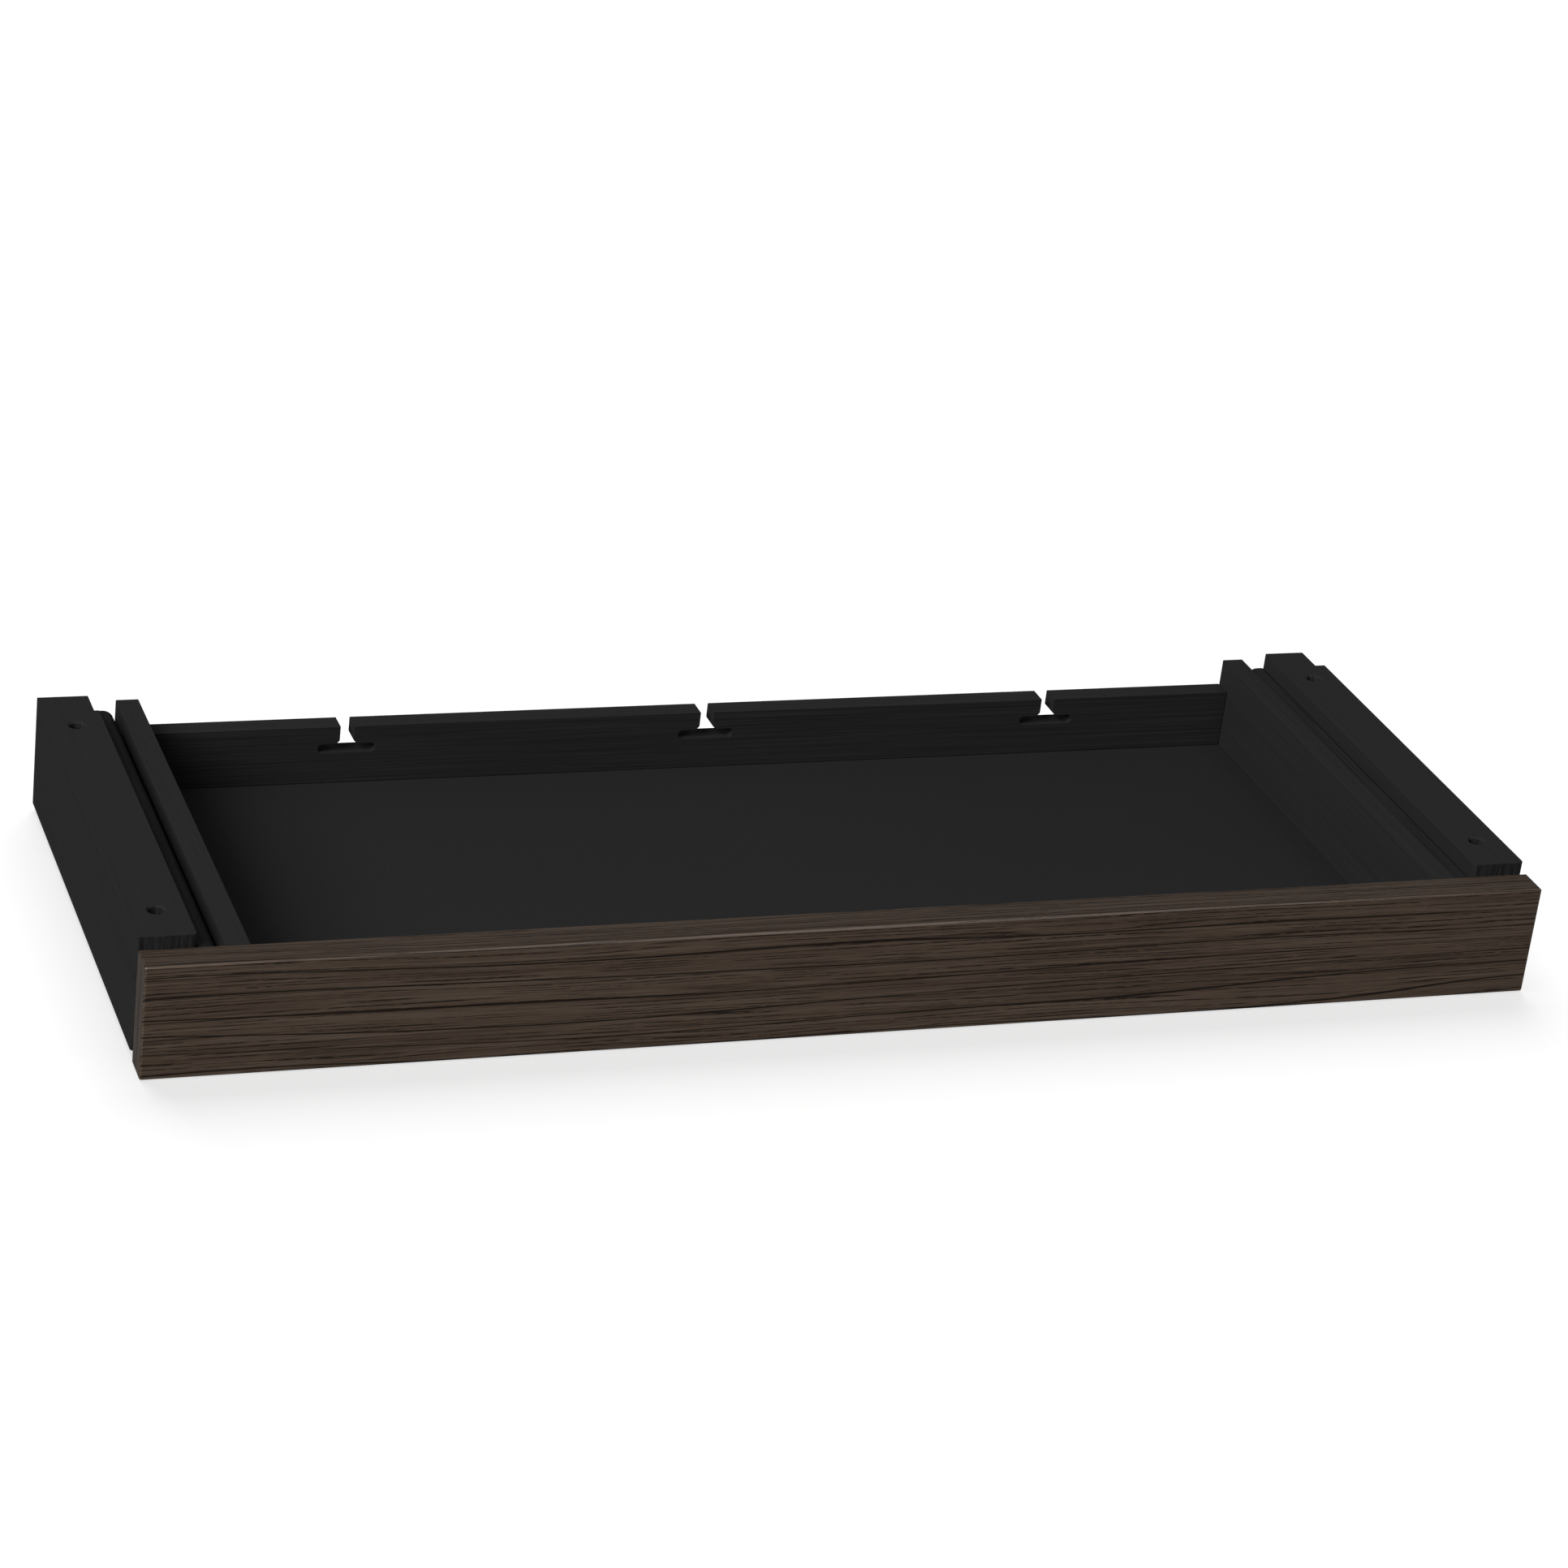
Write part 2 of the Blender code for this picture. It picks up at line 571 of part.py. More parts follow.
def release_lever(tag, side, inner, zinc, plastic, drawer):
    """The plastic lever that frees the drawer from its slide, and the rivet that it turns on."""
    near, far = (side * (BLOCK_FACE_X - depth) for depth in LEVER_DEPTH)
    pivot = Vector(((near + far) / 2, SLIDE_FRONT_Y + LEVER_PIVOT_Y, SLIDE_Z))
    half = abs(far - near) / 2
    lever_group = group(f"lever_{tag}", pivot)
    tall = LEVER_HALF_HEIGHT
    tip = LEVER_LENGTH - tall
    heel_bend = LEVER_HEEL_SHARE * tall
    points = [
        (-tall, -tall),
        (tip / 2, -LEVER_WAIST * tall),
        (tip, -tall),
        (tip + tall, 0),
        (tip, tall),
        (tip / 2, LEVER_WAIST * tall),
        (-tall, tall),
    ]
    tip_bends = [LEVER_WAIST_BEND, LEVER_TIP_BEND, LEVER_TIP_BEND, LEVER_TIP_BEND, LEVER_WAIST_BEND]
    outline = rounded(points, [heel_bend, *tip_bends, heel_bend])
    builder = bmesh.new()
    face = builder.faces.new([builder.verts.new((-half, y, z)) for y, z in outline])
    extruded = bmesh.ops.extrude_face_region(builder, geom=[face])
    moved = [item for item in extruded["geom"] if isinstance(item, bmesh.types.BMVert)]
    bmesh.ops.translate(builder, verts=moved, vec=(2 * half, 0, 0))
    lever = add_object(f"release_lever_{tag}", builder, pivot, plastic, lever_group)
    towards_side = -side * X_AXIS
    start = pivot - towards_side * (half + OVERRUN)
    drill(lever, RIVET_RADIUS + FIT, start, towards_side, 2 * (half + OVERRUN))
    through = abs(side * (BLOCK_FACE_X - INNER_DEPTH[1]) - start.x)
    drill(inner, RIVET_RADIUS + FIT, start, towards_side, through + OVERRUN)
    head = RIVET_HEAD_SHARE * tall
    under_head = OVERRUN - GAP
    profile = [
        (0, under_head - RIVET_HEAD_HEIGHT),
        (head, under_head - RIVET_HEAD_HEIGHT),
        (head, under_head),
        (RIVET_RADIUS, under_head),
        (RIVET_RADIUS, through),
        (0, through),
    ]
    turned(f"lever_rivet_{tag}", profile, start, towards_side, zinc, drawer)


def build():
    clear_scene()
    veneer = material("stained_ash_veneer", "4A3B36", 0.6)
    black_wood = material("black_stained_beech", "262626", 0.62)
    black_board = material("black_lacquered_board", "242424", 0.5)
    steel = material("black_zinc_steel", "1C1C1E", 0.42, 0.7)
    zinc = material("bright_zinc_steel", "A9ABAE", 0.35, 1.0)
    plastic = material("black_acetal", "141415", 0.5)
    birch = material("birch_dowel", "C9A97C", 0.7)

    mount = group("desk_mount")
    drawer = group("drawer")
    front_panel(veneer, drawer)
    back_rail(black_board, drawer)
    drawer_bottom(black_board, drawer)
    for tag, side in SIDES.items():
        mounting_block(f"mounting_block_{tag}", side, black_wood, mount)
        drawer_side(f"drawer_side_{tag}", side, black_board, drawer)
        slide(tag, side, (steel, zinc, plastic), mount, drawer)
        for level, place in dowel_places(side).items():
            start = place - Vector((0, DOWEL_IN_PANEL, 0))
            ends = [(0, 0), (DOWEL_RADIUS, 0), (DOWEL_RADIUS, DOWEL_LENGTH), (0, DOWEL_LENGTH)]
            turned(f"front_dowel_{level}_{tag}", ends, start, (0, 1, 0), birch, drawer)
        for level, height in rail_screw_heights().items():
            seat = (side * SIDE_OUTER_X, RAIL_MIDDLE_Y, height)
            name = f"rail_screw_{level}_{tag}"
            countersunk_screw(name, seat, -side * X_AXIS, RAIL_SCREW_LENGTH, zinc, drawer)
    for number, place in enumerate(bottom_screw_places(), 1):
        countersunk_screw(f"bottom_screw_{number}", place, Z_AXIS, BOTTOM_SCREW_LENGTH, zinc, drawer)


build()
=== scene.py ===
"""Looks for the under-desk drawer: a stained ash front, a black stained box and blocks, and ball-bearing
slides.

Metres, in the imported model's own frame: +Z up, the drawer opens towards -Y, and the tops of the two
mounting blocks lie at Z = 0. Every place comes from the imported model's boxes.
"""

import math

import bmesh
import bpy
from mathutils import Matrix, Vector


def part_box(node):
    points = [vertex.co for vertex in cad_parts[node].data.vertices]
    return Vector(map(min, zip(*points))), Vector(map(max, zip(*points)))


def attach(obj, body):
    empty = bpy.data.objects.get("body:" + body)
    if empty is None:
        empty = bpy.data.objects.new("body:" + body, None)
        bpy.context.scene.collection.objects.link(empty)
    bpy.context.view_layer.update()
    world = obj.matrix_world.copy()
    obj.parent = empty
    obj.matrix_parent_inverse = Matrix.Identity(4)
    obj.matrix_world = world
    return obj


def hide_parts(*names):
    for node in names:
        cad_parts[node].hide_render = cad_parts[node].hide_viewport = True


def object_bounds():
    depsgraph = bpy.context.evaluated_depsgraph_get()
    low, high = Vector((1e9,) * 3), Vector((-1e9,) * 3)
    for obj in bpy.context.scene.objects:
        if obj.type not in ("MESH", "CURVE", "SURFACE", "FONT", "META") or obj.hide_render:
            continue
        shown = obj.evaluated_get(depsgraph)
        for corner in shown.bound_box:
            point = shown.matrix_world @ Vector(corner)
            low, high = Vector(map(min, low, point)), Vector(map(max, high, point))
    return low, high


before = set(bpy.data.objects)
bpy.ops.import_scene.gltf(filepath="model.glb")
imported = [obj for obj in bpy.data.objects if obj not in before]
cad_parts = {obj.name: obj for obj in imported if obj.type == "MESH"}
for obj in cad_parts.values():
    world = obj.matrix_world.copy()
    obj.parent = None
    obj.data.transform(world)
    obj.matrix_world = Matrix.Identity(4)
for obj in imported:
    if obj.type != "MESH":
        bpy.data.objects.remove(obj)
cad_low, cad_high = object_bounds()

MM = 0.001
SIDES = {"left": -1, "right": 1}
LEVELS = ("upper", "lower")
ENDS = ("front", "rear")
BOTTOM_SCREWS = range(1, 5)
X_AXIS = Vector((1, 0, 0))
Y_AXIS = Vector((0, 1, 0))
Z_AXIS = Vector((0, 0, 1))

# Boards
PANEL_EDGE = 0.8 * MM  # planed chamfers, which catch the light
BOARD_EDGE = 0.35 * MM  # broken with sandpaper before staining
BLOCK_EDGE = 0.3 * MM
BLOCK_CORNER = 2.2 * MM  # rounded front corners of the blocks
BLOCK_HOLE_RADIUS = 4.0 * MM
BLOCK_HOLE_CHAMFER = 0.9 * MM
BLOCK_HOLE_FROM_FRONT = (26.5 * MM, 231 * MM)
REBATE_LENGTH = 18 * MM
REBATE_DEPTH = {-1: 2.5 * MM, 1: 5.8 * MM}
HOLE_CHAMFER = 0.3 * MM
GROOVE_DEPTH = 4.0 * MM  # for the drawer bottom, in the sides and the front panel
FIT = 0.3 * MM  # play around whatever sits in a groove or a hole
CUT_OVER = 2 * MM  # how far a cutter stands out of the face that it enters

# Screws, dowels and rivets
SCREW_HEAD_RADIUS = 3.3 * MM
SCREW_SHANK_RADIUS = 1.7 * MM
PAN_HEAD_HEIGHT = 1.2 * MM
PAN_NECK = 0.6 * MM  # plain, below the head
TAPER_HEIGHT = 2.0 * MM
TAPERED_NECK = 4.2 * MM  # plain, below the taper
SCREW_POINT = 2.5 * MM
THREAD_PITCH = 1.4 * MM
THREAD_CORE = 0.72  # share of the shank's radius
PILOT_RADIUS = 1.9 * MM
COUNTERSINK_RADIUS = 3.5 * MM
CLEARANCE_RADIUS = 1.95 * MM
RIVET_SHANK_RADIUS = 1.5 * MM
DOWEL_FLUTES = 14
DOWEL_CHAMFER = 0.8 * MM

# Cable slots in the back rail
SLOT_SPACING = 201 * MM
SLOT_NECK = 7.4 * MM
SLOT_WIDTH = 31 * MM
SLOT_HEIGHT = 5.0 * MM
SLOT_ROOF_BELOW_RAIL_TOP = 10.2 * MM
SLOT_FLARE = 1.9 * MM

# Slides
SHEET = 1.2 * MM
LIP = 7.0 * MM
WEB_BEND = 1.3 * MM  # radius on the middle of the sheet, as the next one is
LIP_BEND = 5.7 * MM  # the wide bend that the outer balls run in
MEMBER_SHARP_DEGREES = 40
BALL_PITCH = 6.0 * MM
RETAINER_THICKNESS = 0.5 * MM
WEB_SCREW_HOLE = 3.8 * MM
WEB_RIVET_HOLE = 3.4 * MM

# Other holes punched in the slides' webs, in mm: width along Y, height along Z, and distances from the
# outer member's front end
OUTER_HOLES = ((8.5, 4.6, (13, 76, 140, 172, 224)), (4.6, 8.5, (28, 108, 244)))
MIDDLE_HOLES = ((14, 9, (22, 60, 100, 140, 180, 220)),)
INNER_HOLES = ((4.6, 4.6, (17, 67, 131, 195, 246)), (4.6, 8.5, (51, 99, 115, 211)))

# Moulded pieces
BUMPER_BACK = 1.6 * MM  # the wall that its slot leaves at the rear
BUMPER_HALF_SLOT = 1.4 * MM
BUMPER_EDGE = 0.35 * MM
LEVER_EDGE = 0.4 * MM
LEVER_HOLE_RADIUS = 1.7 * MM
RIB_COUNT = 6
RIB_PITCH = 1.8 * MM
RIB_GROOVE = 0.7 * MM  # width and depth of the cuts between the ribs

# Floor, and lights: the way from the object to each one, its distance and size in metres, its power in watts
FLOOR_REACH = 30
LEFT_LIGHT = ((-0.68, -0.37, 0.58), 9.0, 5.4, 1250)
EDGE_LIGHT = ((0.33, -0.43, 0.84), 2.5, 0.8, 9)
RIGHT_LIGHT = ((0.99, 0.1, 0.1), 5.0, 1.6, 150)
REAR_LIGHT = ((0.0, 0.99, 0.1), 5.0, 1.6, 150)
FLOOR_LIGHT = ((0, 0.6, 0.8), 6.0, 5.0, 145)

# Camera
CAMERA_PLACE = (-0.7635, -1.9365, 0.9765)
CAMERA_AZIMUTH = math.radians(-21.532)
CAMERA_ELEVATION = math.radians(25.180)
CAMERA_ROLL = math.radians(6.974)
CAMERA_LENS_MM = 101.68


# ---------------------------------------------------------------- finishes


def linear(hex_colour):
    """An sRGB hex colour as the linear RGBA that a shader takes."""
    channels = [int(hex_colour[i : i + 2], 16) / 255 for i in (0, 2, 4)]
    return [c / 12.92 if c <= 0.04045 else ((c + 0.055) / 1.055) ** 2.4 for c in channels] + [1.0]


def add_node(tree, kind, inputs=None, **settings):
    """One shader node. An input is a plain value or another node's output."""
    node = tree.nodes.new("ShaderNode" + kind)
    for name, value in settings.items():
        setattr(node, name, value)
    for key, value in (inputs or {}).items():
        if isinstance(value, bpy.types.NodeSocket):
            tree.links.new(value, node.inputs[key])
        else:
            node.inputs[key].default_value = value
    return node


def new_finish(name, slot, **values):
    """A material with the values given set on its shader, its slot in the record kept beside it."""
    made = bpy.data.materials.new(name)
    made.use_nodes = True
    made["slot"] = slot
    shader = made.node_tree.nodes["Principled BSDF"]
    for key, value in values.items():
        shader.inputs[key.replace("_", " ")].default_value = value
    return made, made.node_tree, shader


def scaled_noise(tree, place, size_mm, detail):
    """Noise whose features have about the given size in mm along each axis."""
    scale = [1 / (size * MM) for size in size_mm]
    stretched = add_node(tree, "VectorMath", {0: place, 1: scale}, operation="MULTIPLY").outputs[0]
    return add_node(tree, "TexNoise", {"Vector": stretched, "Scale": 1.0, "Detail": detail})


def streaks(tree, place, size_mm, detail=2.0, low=0.35, high=0.65):
    """Soft streaks of about the given size, from 0 to 1 between the two noise levels."""
    noise = scaled_noise(tree, place, size_mm, detail).outputs["Fac"]
    spread = {"Value": noise, "From Min": low, "From Max": high}
    return add_node(tree, "MapRange", spread).outputs["Result"]


def grain_lines(tree, place, spacing_mm, width_mm):
    """Thin lines along X, 1 on a line and 0 between. They are spaced evenly over the place's Y plus Z."""
    part = add_node(tree, "SeparateXYZ", {0: place})
    across = add_node(tree, "Math", {0: part.outputs[1], 1: part.outputs[2]}, operation="ADD").outputs[0]
    spacing = spacing_mm * MM / 2
    away = add_node(tree, "Math", {0: across, 1: spacing}, operation="PINGPONG").outputs[0]
    width = width_mm * MM / 2
    spread = {"Value": away, "From Min": 0.4 * width, "From Max": width, "To Min": 1.0, "To Max": 0.0}
    return add_node(tree, "MapRange", spread).outputs["Result"]


def wander(tree, place, size_mm, by_mm):
    """The place shifted sideways by slow noise, so that straight grain wanders like real grain."""
    noise = scaled_noise(tree, place, size_mm, 1.0)
    centred = {0: noise.outputs["Color"], 1: (0.5, 0.5, 0.5)}
    shift = add_node(tree, "VectorMath", centred, operation="SUBTRACT").outputs[0]
    moved = {0: shift, 1: [2 * by * MM for by in by_mm], 2: place}
    return add_node(tree, "VectorMath", moved, operation="MULTIPLY_ADD").outputs[0]


def blended(tree, factor, first, second):
    """The colour between the first, where factor is 0, and the second, where it is 1."""
    mixed = add_node(tree, "Mix", {0: factor, 6: first, 7: second}, data_type="RGBA")
    return mixed.outputs[2]


def tinted(tree, colour, mask, strength, tint):
    """The colour drawn towards the tint where the mask is 1, by the given strength."""
    share = add_node(tree, "Math", {0: mask, 1: strength}, operation="MULTIPLY").outputs[0]
    return blended(tree, share, colour, tint)


def facing(tree, axis, limit):
    """1 where the surface faces along the axis, either way, by more than the limit, and 0 elsewhere."""
    normal = add_node(tree, "SeparateXYZ", {0: add_node(tree, "TexCoord").outputs["Normal"]})
    share = add_node(tree, "Math", {0: normal.outputs[axis]}, operation="ABSOLUTE").outputs[0]
    return add_node(tree, "Math", {0: share, 1: limit}, operation="GREATER_THAN").outputs[0]


def grain_place(tree):
    """Object coordinates whose X runs along the grain. On the panel's two ends the grain is upright."""
    along = add_node(tree, "TexCoord").outputs["Object"]
    part = add_node(tree, "SeparateXYZ", {0: along})
    swapped = {0: part.outputs[2], 1: part.outputs[1], 2: part.outputs[0]}
    upright = add_node(tree, "CombineXYZ", swapped).outputs[0]
    chosen = {0: facing(tree, 0, 0.8), 4: along, 5: upright}
    return add_node(tree, "Mix", chosen, data_type="VECTOR").outputs[1]


def stained_ash():
    """Ash with a dark grey-brown stain under satin oil: straight grain along the panel, open pores that
    hold the stain as thin dark dashes 1 to 3 mm apart, and a few dark growth lines that run its length.
    The top, bottom and end faces are tinted darker than the front face as painted shade, so that they look
    less brightly lit than the face."""
    made, tree, shader = new_finish("ash_stained_grey_brown", "stained_ash_veneer", Roughness=0.32)
    shader.inputs["Specular IOR Level"].default_value = 0.28
    grain = grain_place(tree)
    place = wander(tree, grain, (260, 26, 26), (0, 3.2, 3.2))
    fibre = streaks(tree, place, (90, 0.4, 0.4), 3.0, 0.3, 0.7)
    flecks = streaks(tree, place, (10, 0.6, 0.6), 2.0, 0.36, 0.62)
    bands = streaks(tree, place, (360, 3.6, 3.6), 2.0, 0.42, 0.66)
    close = wander(tree, place, (220, 7, 7), (0, 2.6, 2.6))
    dashes = streaks(tree, place, (70, 1.3, 1.3), 2.0, 0.44, 0.5)
    lines = grain_lines(tree, close, 2.0, 0.85)
    pores = add_node(tree, "Math", {0: dashes, 1: lines}, operation="MULTIPLY").outputs[0]
    gaps = streaks(tree, place, (7, 0.5, 0.5), 2.0, 0.33, 0.5)
    pores = add_node(tree, "Math", {0: pores, 1: gaps}, operation="MULTIPLY").outputs[0]
    wide = wander(tree, grain, (500, 45, 45), (0, 13, 13))
    fading = streaks(tree, place, (280, 12, 12), 1.0, 0.28, 0.42)
    rings = grain_lines(tree, wide, 9.5, 1.0)
    growth = add_node(tree, "Math", {0: fading, 1: rings}, operation="MULTIPLY").outputs[0]
    colour = blended(tree, fibre, linear("32271F"), linear("584A3F"))
    colour = tinted(tree, colour, flecks, 0.3, linear("271D17"))
    colour = tinted(tree, colour, bands, 0.35, linear("5E5146"))
    colour = tinted(tree, colour, pores, 0.9, linear("150D09"))
    colour = tinted(tree, colour, growth, 0.92, linear("0F0805"))
    # painted shade: every face that doesn't face along Y (top, bottom, ends) is darkened, so that it looks
    # less lit than the front face
    painted_shade_on_edges = add_node(tree, "Math", {0: 1.0, 1: facing(tree, 1, 0.6)}, operation="SUBTRACT").outputs[0]
    colour = tinted(tree, colour, painted_shade_on_edges, 0.42, linear("0C0806"))
    tree.links.new(colour, shader.inputs["Base Color"])
    relief = add_node(tree, "Math", {0: pores, 1: -1.0, 2: fibre}, operation="MULTIPLY_ADD").outputs[0]
    bump = add_node(tree, "Bump", {"Height": relief, "Distance": 0.04 * MM, "Strength": 0.3})
    tree.links.new(bump.outputs[0], shader.inputs["Normal"])
    return made


def black_stained(name, slot, size_mm, contrast, on_ends=0.0):
    """Close-grained wood or board under black stain and a dead-matt varnish: nearly even, with faint fibre
    lines of the given size in mm along X, Y and Z, and a fine tooth that takes the shine off. The ends
    that face along Y can show their grain more."""
    made, tree, shader = new_finish(name, slot, Roughness=0.65)
    shader.inputs["Specular IOR Level"].default_value = 0.03
    place = add_node(tree, "TexCoord").outputs["Object"]
    fibre = streaks(tree, place, size_mm, 3.0, 0.3, 0.7)
    tooth = streaks(tree, place, (0.7, 0.7, 0.7), 2.0, 0.25, 0.75)
    strength = {0: facing(tree, 1, 0.6), 1: on_ends, 2: contrast}
    shown = add_node(tree, "Math", strength, operation="MULTIPLY_ADD").outputs[0]
    about_middle = add_node(tree, "Math", {0: fibre, 1: 0.5}, operation="SUBTRACT").outputs[0]
    spread = {0: about_middle, 1: shown, 2: 0.5}
    share = add_node(tree, "Math", spread, operation="MULTIPLY_ADD").outputs[0]
    colour = blended(tree, share, linear("121212"), linear("2A2A2A"))
    colour = tinted(tree, colour, tooth, 0.1, linear("333333"))
    tree.links.new(colour, shader.inputs["Base Color"])
    relief = add_node(tree, "Math", {0: tooth, 1: 0.3, 2: fibre}, operation="MULTIPLY_ADD").outputs[0]
    bump = add_node(tree, "Bump", {"Height": relief, "Distance": 0.02 * MM, "Strength": 0.4})
    tree.links.new(bump.outputs[0], shader.inputs["Normal"])
    return made


def black_coated_steel():
    """Cold-rolled steel with a matt black electro-coat, and the faint lengthwise lines of rolling."""
    made, tree, shader = new_finish("steel_black_electrocoat", "black_steel", Roughness=0.55)
    shader.inputs["Specular IOR Level"].default_value = 0.04
    place = add_node(tree, "TexCoord").outputs["Object"]
    rolled = streaks(tree, place, (0.5, 60, 0.5), 2.0)
    specks = streaks(tree, place, (0.6, 0.6, 0.6), 1.0)
    colour = blended(tree, rolled, linear("1A1A1A"), linear("242424"))
    tree.links.new(colour, shader.inputs["Base Color"])
    roughness = add_node(tree, "MapRange", {"Value": specks, "To Min": 0.45, "To Max": 0.58})
    tree.links.new(roughness.outputs[0], shader.inputs["Roughness"])
    bump = add_node(tree, "Bump", {"Height": rolled, "Distance": 0.02 * MM, "Strength": 0.3})
    tree.links.new(bump.outputs[0], shader.inputs["Normal"])
    return made


def bright_zinc():
    """Steel with a bright zinc plate: slightly blue, cloudy where the crystals catch the light."""
    made, tree, shader = new_finish("steel_bright_zinc", "zinc_steel", Metallic=1.0)
    place = add_node(tree, "TexCoord").outputs["Object"]
    crystals = streaks(tree, place, (1.6, 1.6, 1.6), 2.0)
    colour = blended(tree, crystals, linear("9DA0A6"), linear("C2C5CA"))
    tree.links.new(colour, shader.inputs["Base Color"])
    roughness = add_node(tree, "MapRange", {"Value": crystals, "To Min": 0.22, "To Max": 0.38})
    tree.links.new(roughness.outputs[0], shader.inputs["Roughness"])
    return made


def black_acetal():
    """Injection-moulded black acetal: even, waxy, with the fine spark-eroded texture of its mould."""
    made, tree, shader = new_finish("acetal_black_moulded", "black_plastic", Roughness=0.48)
    place = add_node(tree, "TexCoord").outputs["Object"]
    texture = streaks(tree, place, (0.25, 0.25, 0.25), 1.0)
    colour = blended(tree, texture, linear("161617"), linear("1D1D1F"))
    tree.links.new(colour, shader.inputs["Base Color"])
    bump = add_node(tree, "Bump", {"Height": texture, "Distance": 0.02 * MM, "Strength": 0.5})
    tree.links.new(bump.outputs[0], shader.inputs["Normal"])
    return made


def raw_birch():
    """Untreated birch dowel: pale, with short silky fibre along its length."""
    made, tree, shader = new_finish("birch_raw", "birch", Roughness=0.7)
    place = add_node(tree, "TexCoord").outputs["Object"]
    fibre = streaks(tree, place, (0.4, 18, 0.4), 3.0)
    colour = blended(tree, fibre, linear("B8966A"), linear("D9BE93"))
    tree.links.new(colour, shader.inputs["Base Color"])
    bump = add_node(tree, "Bump", {"Height": fibre, "Distance": 0.04 * MM, "Strength": 0.5})
    tree.links.new(bump.outputs[0], shader.inputs["Normal"])
    return made


ash = stained_ash()
block_wood = black_stained("beech_stained_black", "black_wood", (1.0, 160, 14), 0.12, 0.8)
side_wood = black_stained("birch_side_stained_black", "black_board", (1.0, 120, 1.2), 0.16)
rail_wood = black_stained("birch_rail_stained_black", "black_board", (110, 1.2, 0.7), 0.15, 0.45)
bottom_paint = black_stained("hardboard_painted_black", "black_board", (2.0, 2.0, 2.0), 0.08)
steel = black_coated_steel()
zinc = bright_zinc()
acetal = black_acetal()
birch = raw_birch()


# ---------------------------------------------------------------- shapes


def rounded(points, radii, steps=6):
    """The outline through 2-D points, with an arc of the given radius at each corner whose radius isn't 0."""
    outline = []
    count = len(points)
    for i, radius in enumerate(radii):
        corner = Vector(points[i])
        if not radius:
            outline.append(corner)
            continue
        before = (Vector(points[i - 1]) - corner).normalized()
        after = (Vector(points[(i + 1) % count]) - corner).normalized()
        half_angle = before.angle(after) / 2
        centre = corner + (before + after).normalized() * radius / math.sin(half_angle)
        start = (corner + before * radius / math.tan(half_angle) - centre).normalized()
        end = (corner + after * radius / math.tan(half_angle) - centre).normalized()
        for step in range(steps + 1):
            outline.append(centre + start.slerp(end, step / steps) * radius)
    return outline


def box_cage(low, high):
    """A bmesh box between two corners."""
    low, high = Vector(low), Vector(high)
    builder = bmesh.new()
    place = Matrix.Translation((low + high) / 2) @ Matrix.Diagonal((*(high - low), 1))
    bmesh.ops.create_cube(builder, size=1.0, matrix=place)
    return builder


def drawn_out(outline, run):
    """A bmesh of the closed outline of 3-D points, drawn out along run."""
    builder = bmesh.new()
    face = builder.faces.new([builder.verts.new(point) for point in outline])
    grown = bmesh.ops.extrude_face_region(builder, geom=[face])
    moved = [item for item in grown["geom"] if isinstance(item, bmesh.types.BMVert)]
    bmesh.ops.translate(builder, verts=moved, vec=run)
    return builder


def new_object(name, builder, finish=None):
    mesh = bpy.data.meshes.new(name)
    bmesh.ops.recalc_face_normals(builder, faces=builder.faces)
    builder.to_mesh(mesh)
    builder.free()
    if finish:
        mesh.materials.append(finish)
    obj = bpy.data.objects.new(name, mesh)
    bpy.context.scene.collection.objects.link(obj)
    return obj


def modify(piece, kind, **settings):
    """A modifier on the piece, with its settings."""
    added = piece.modifiers.new(kind.lower(), kind)
    for name, value in settings.items():
        setattr(added, name, value)
    return added


def cut(piece, *cutters):
    """Booleans that take the cutters away from the piece. settle() applies them and removes the cutters."""
    for cutter in cutters:
        modify(piece, "BOOLEAN", operation="DIFFERENCE", solver="EXACT", object=cutter)


def settle(piece):
    """Applies the piece's modifiers and place, so that it is a plain mesh with its object at the origin."""
    helpers = [m.object for m in piece.modifiers if m.type == "BOOLEAN"]
    bpy.context.view_layer.update()
    shaped = piece.evaluated_get(bpy.context.evaluated_depsgraph_get())
    mesh = bpy.data.meshes.new_from_object(shaped)
    mesh.transform(piece.matrix_world)
    piece.modifiers.clear()
    piece.data = mesh
    piece.matrix_world = Matrix()
    for helper in helpers:
        bpy.data.objects.remove(helper)
    return piece


def shade(piece, sharp_degrees=35.0):
    """Smooth shading that leaves flat faces flat and keeps edges sharper than the angle."""
    piece.data.shade_smooth()
    piece.data.set_sharp_from_angle(angle=math.radians(sharp_degrees))
    modify(piece, "WEIGHTED_NORMAL", keep_sharp=True, weight=100)


def place_piece(piece, body, node):
    """The piece rides on the body and stands for the node, which is hidden."""
    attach(piece, body)
    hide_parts(node)


def complete(piece, body, node, cutters=(), sharp_degrees=35.0):
    """Cuts and shades a modelled piece and puts it in its place."""
    cut(piece, *cutters)
    settle(piece)
    shade(piece, sharp_degrees)
    place_piece(piece, body, node)


def turned(name, profile, finish=None, steps=32, place=(0, 0, 0), direction=Z_AXIS):
    """The (radius, height) profile, from top to bottom, turned about an axis and stood at place."""
    builder = bmesh.new()
    points = [builder.verts.new((radius, 0, height)) for radius, height in profile]
    for pair in zip(points, points[1:]):
        builder.edges.new(pair)
    piece = new_object(name, builder, finish)
    modify(
        piece,
        "SCREW",
        steps=steps,
        render_steps=steps,
        use_merge_vertices=True,
        merge_threshold=0.00001,
        use_smooth_shade=True,
    )
    piece.rotation_mode = "QUATERNION"
    piece.rotation_quaternion = Z_AXIS.rotation_difference(Vector(direction))
    piece.location = place
    return piece


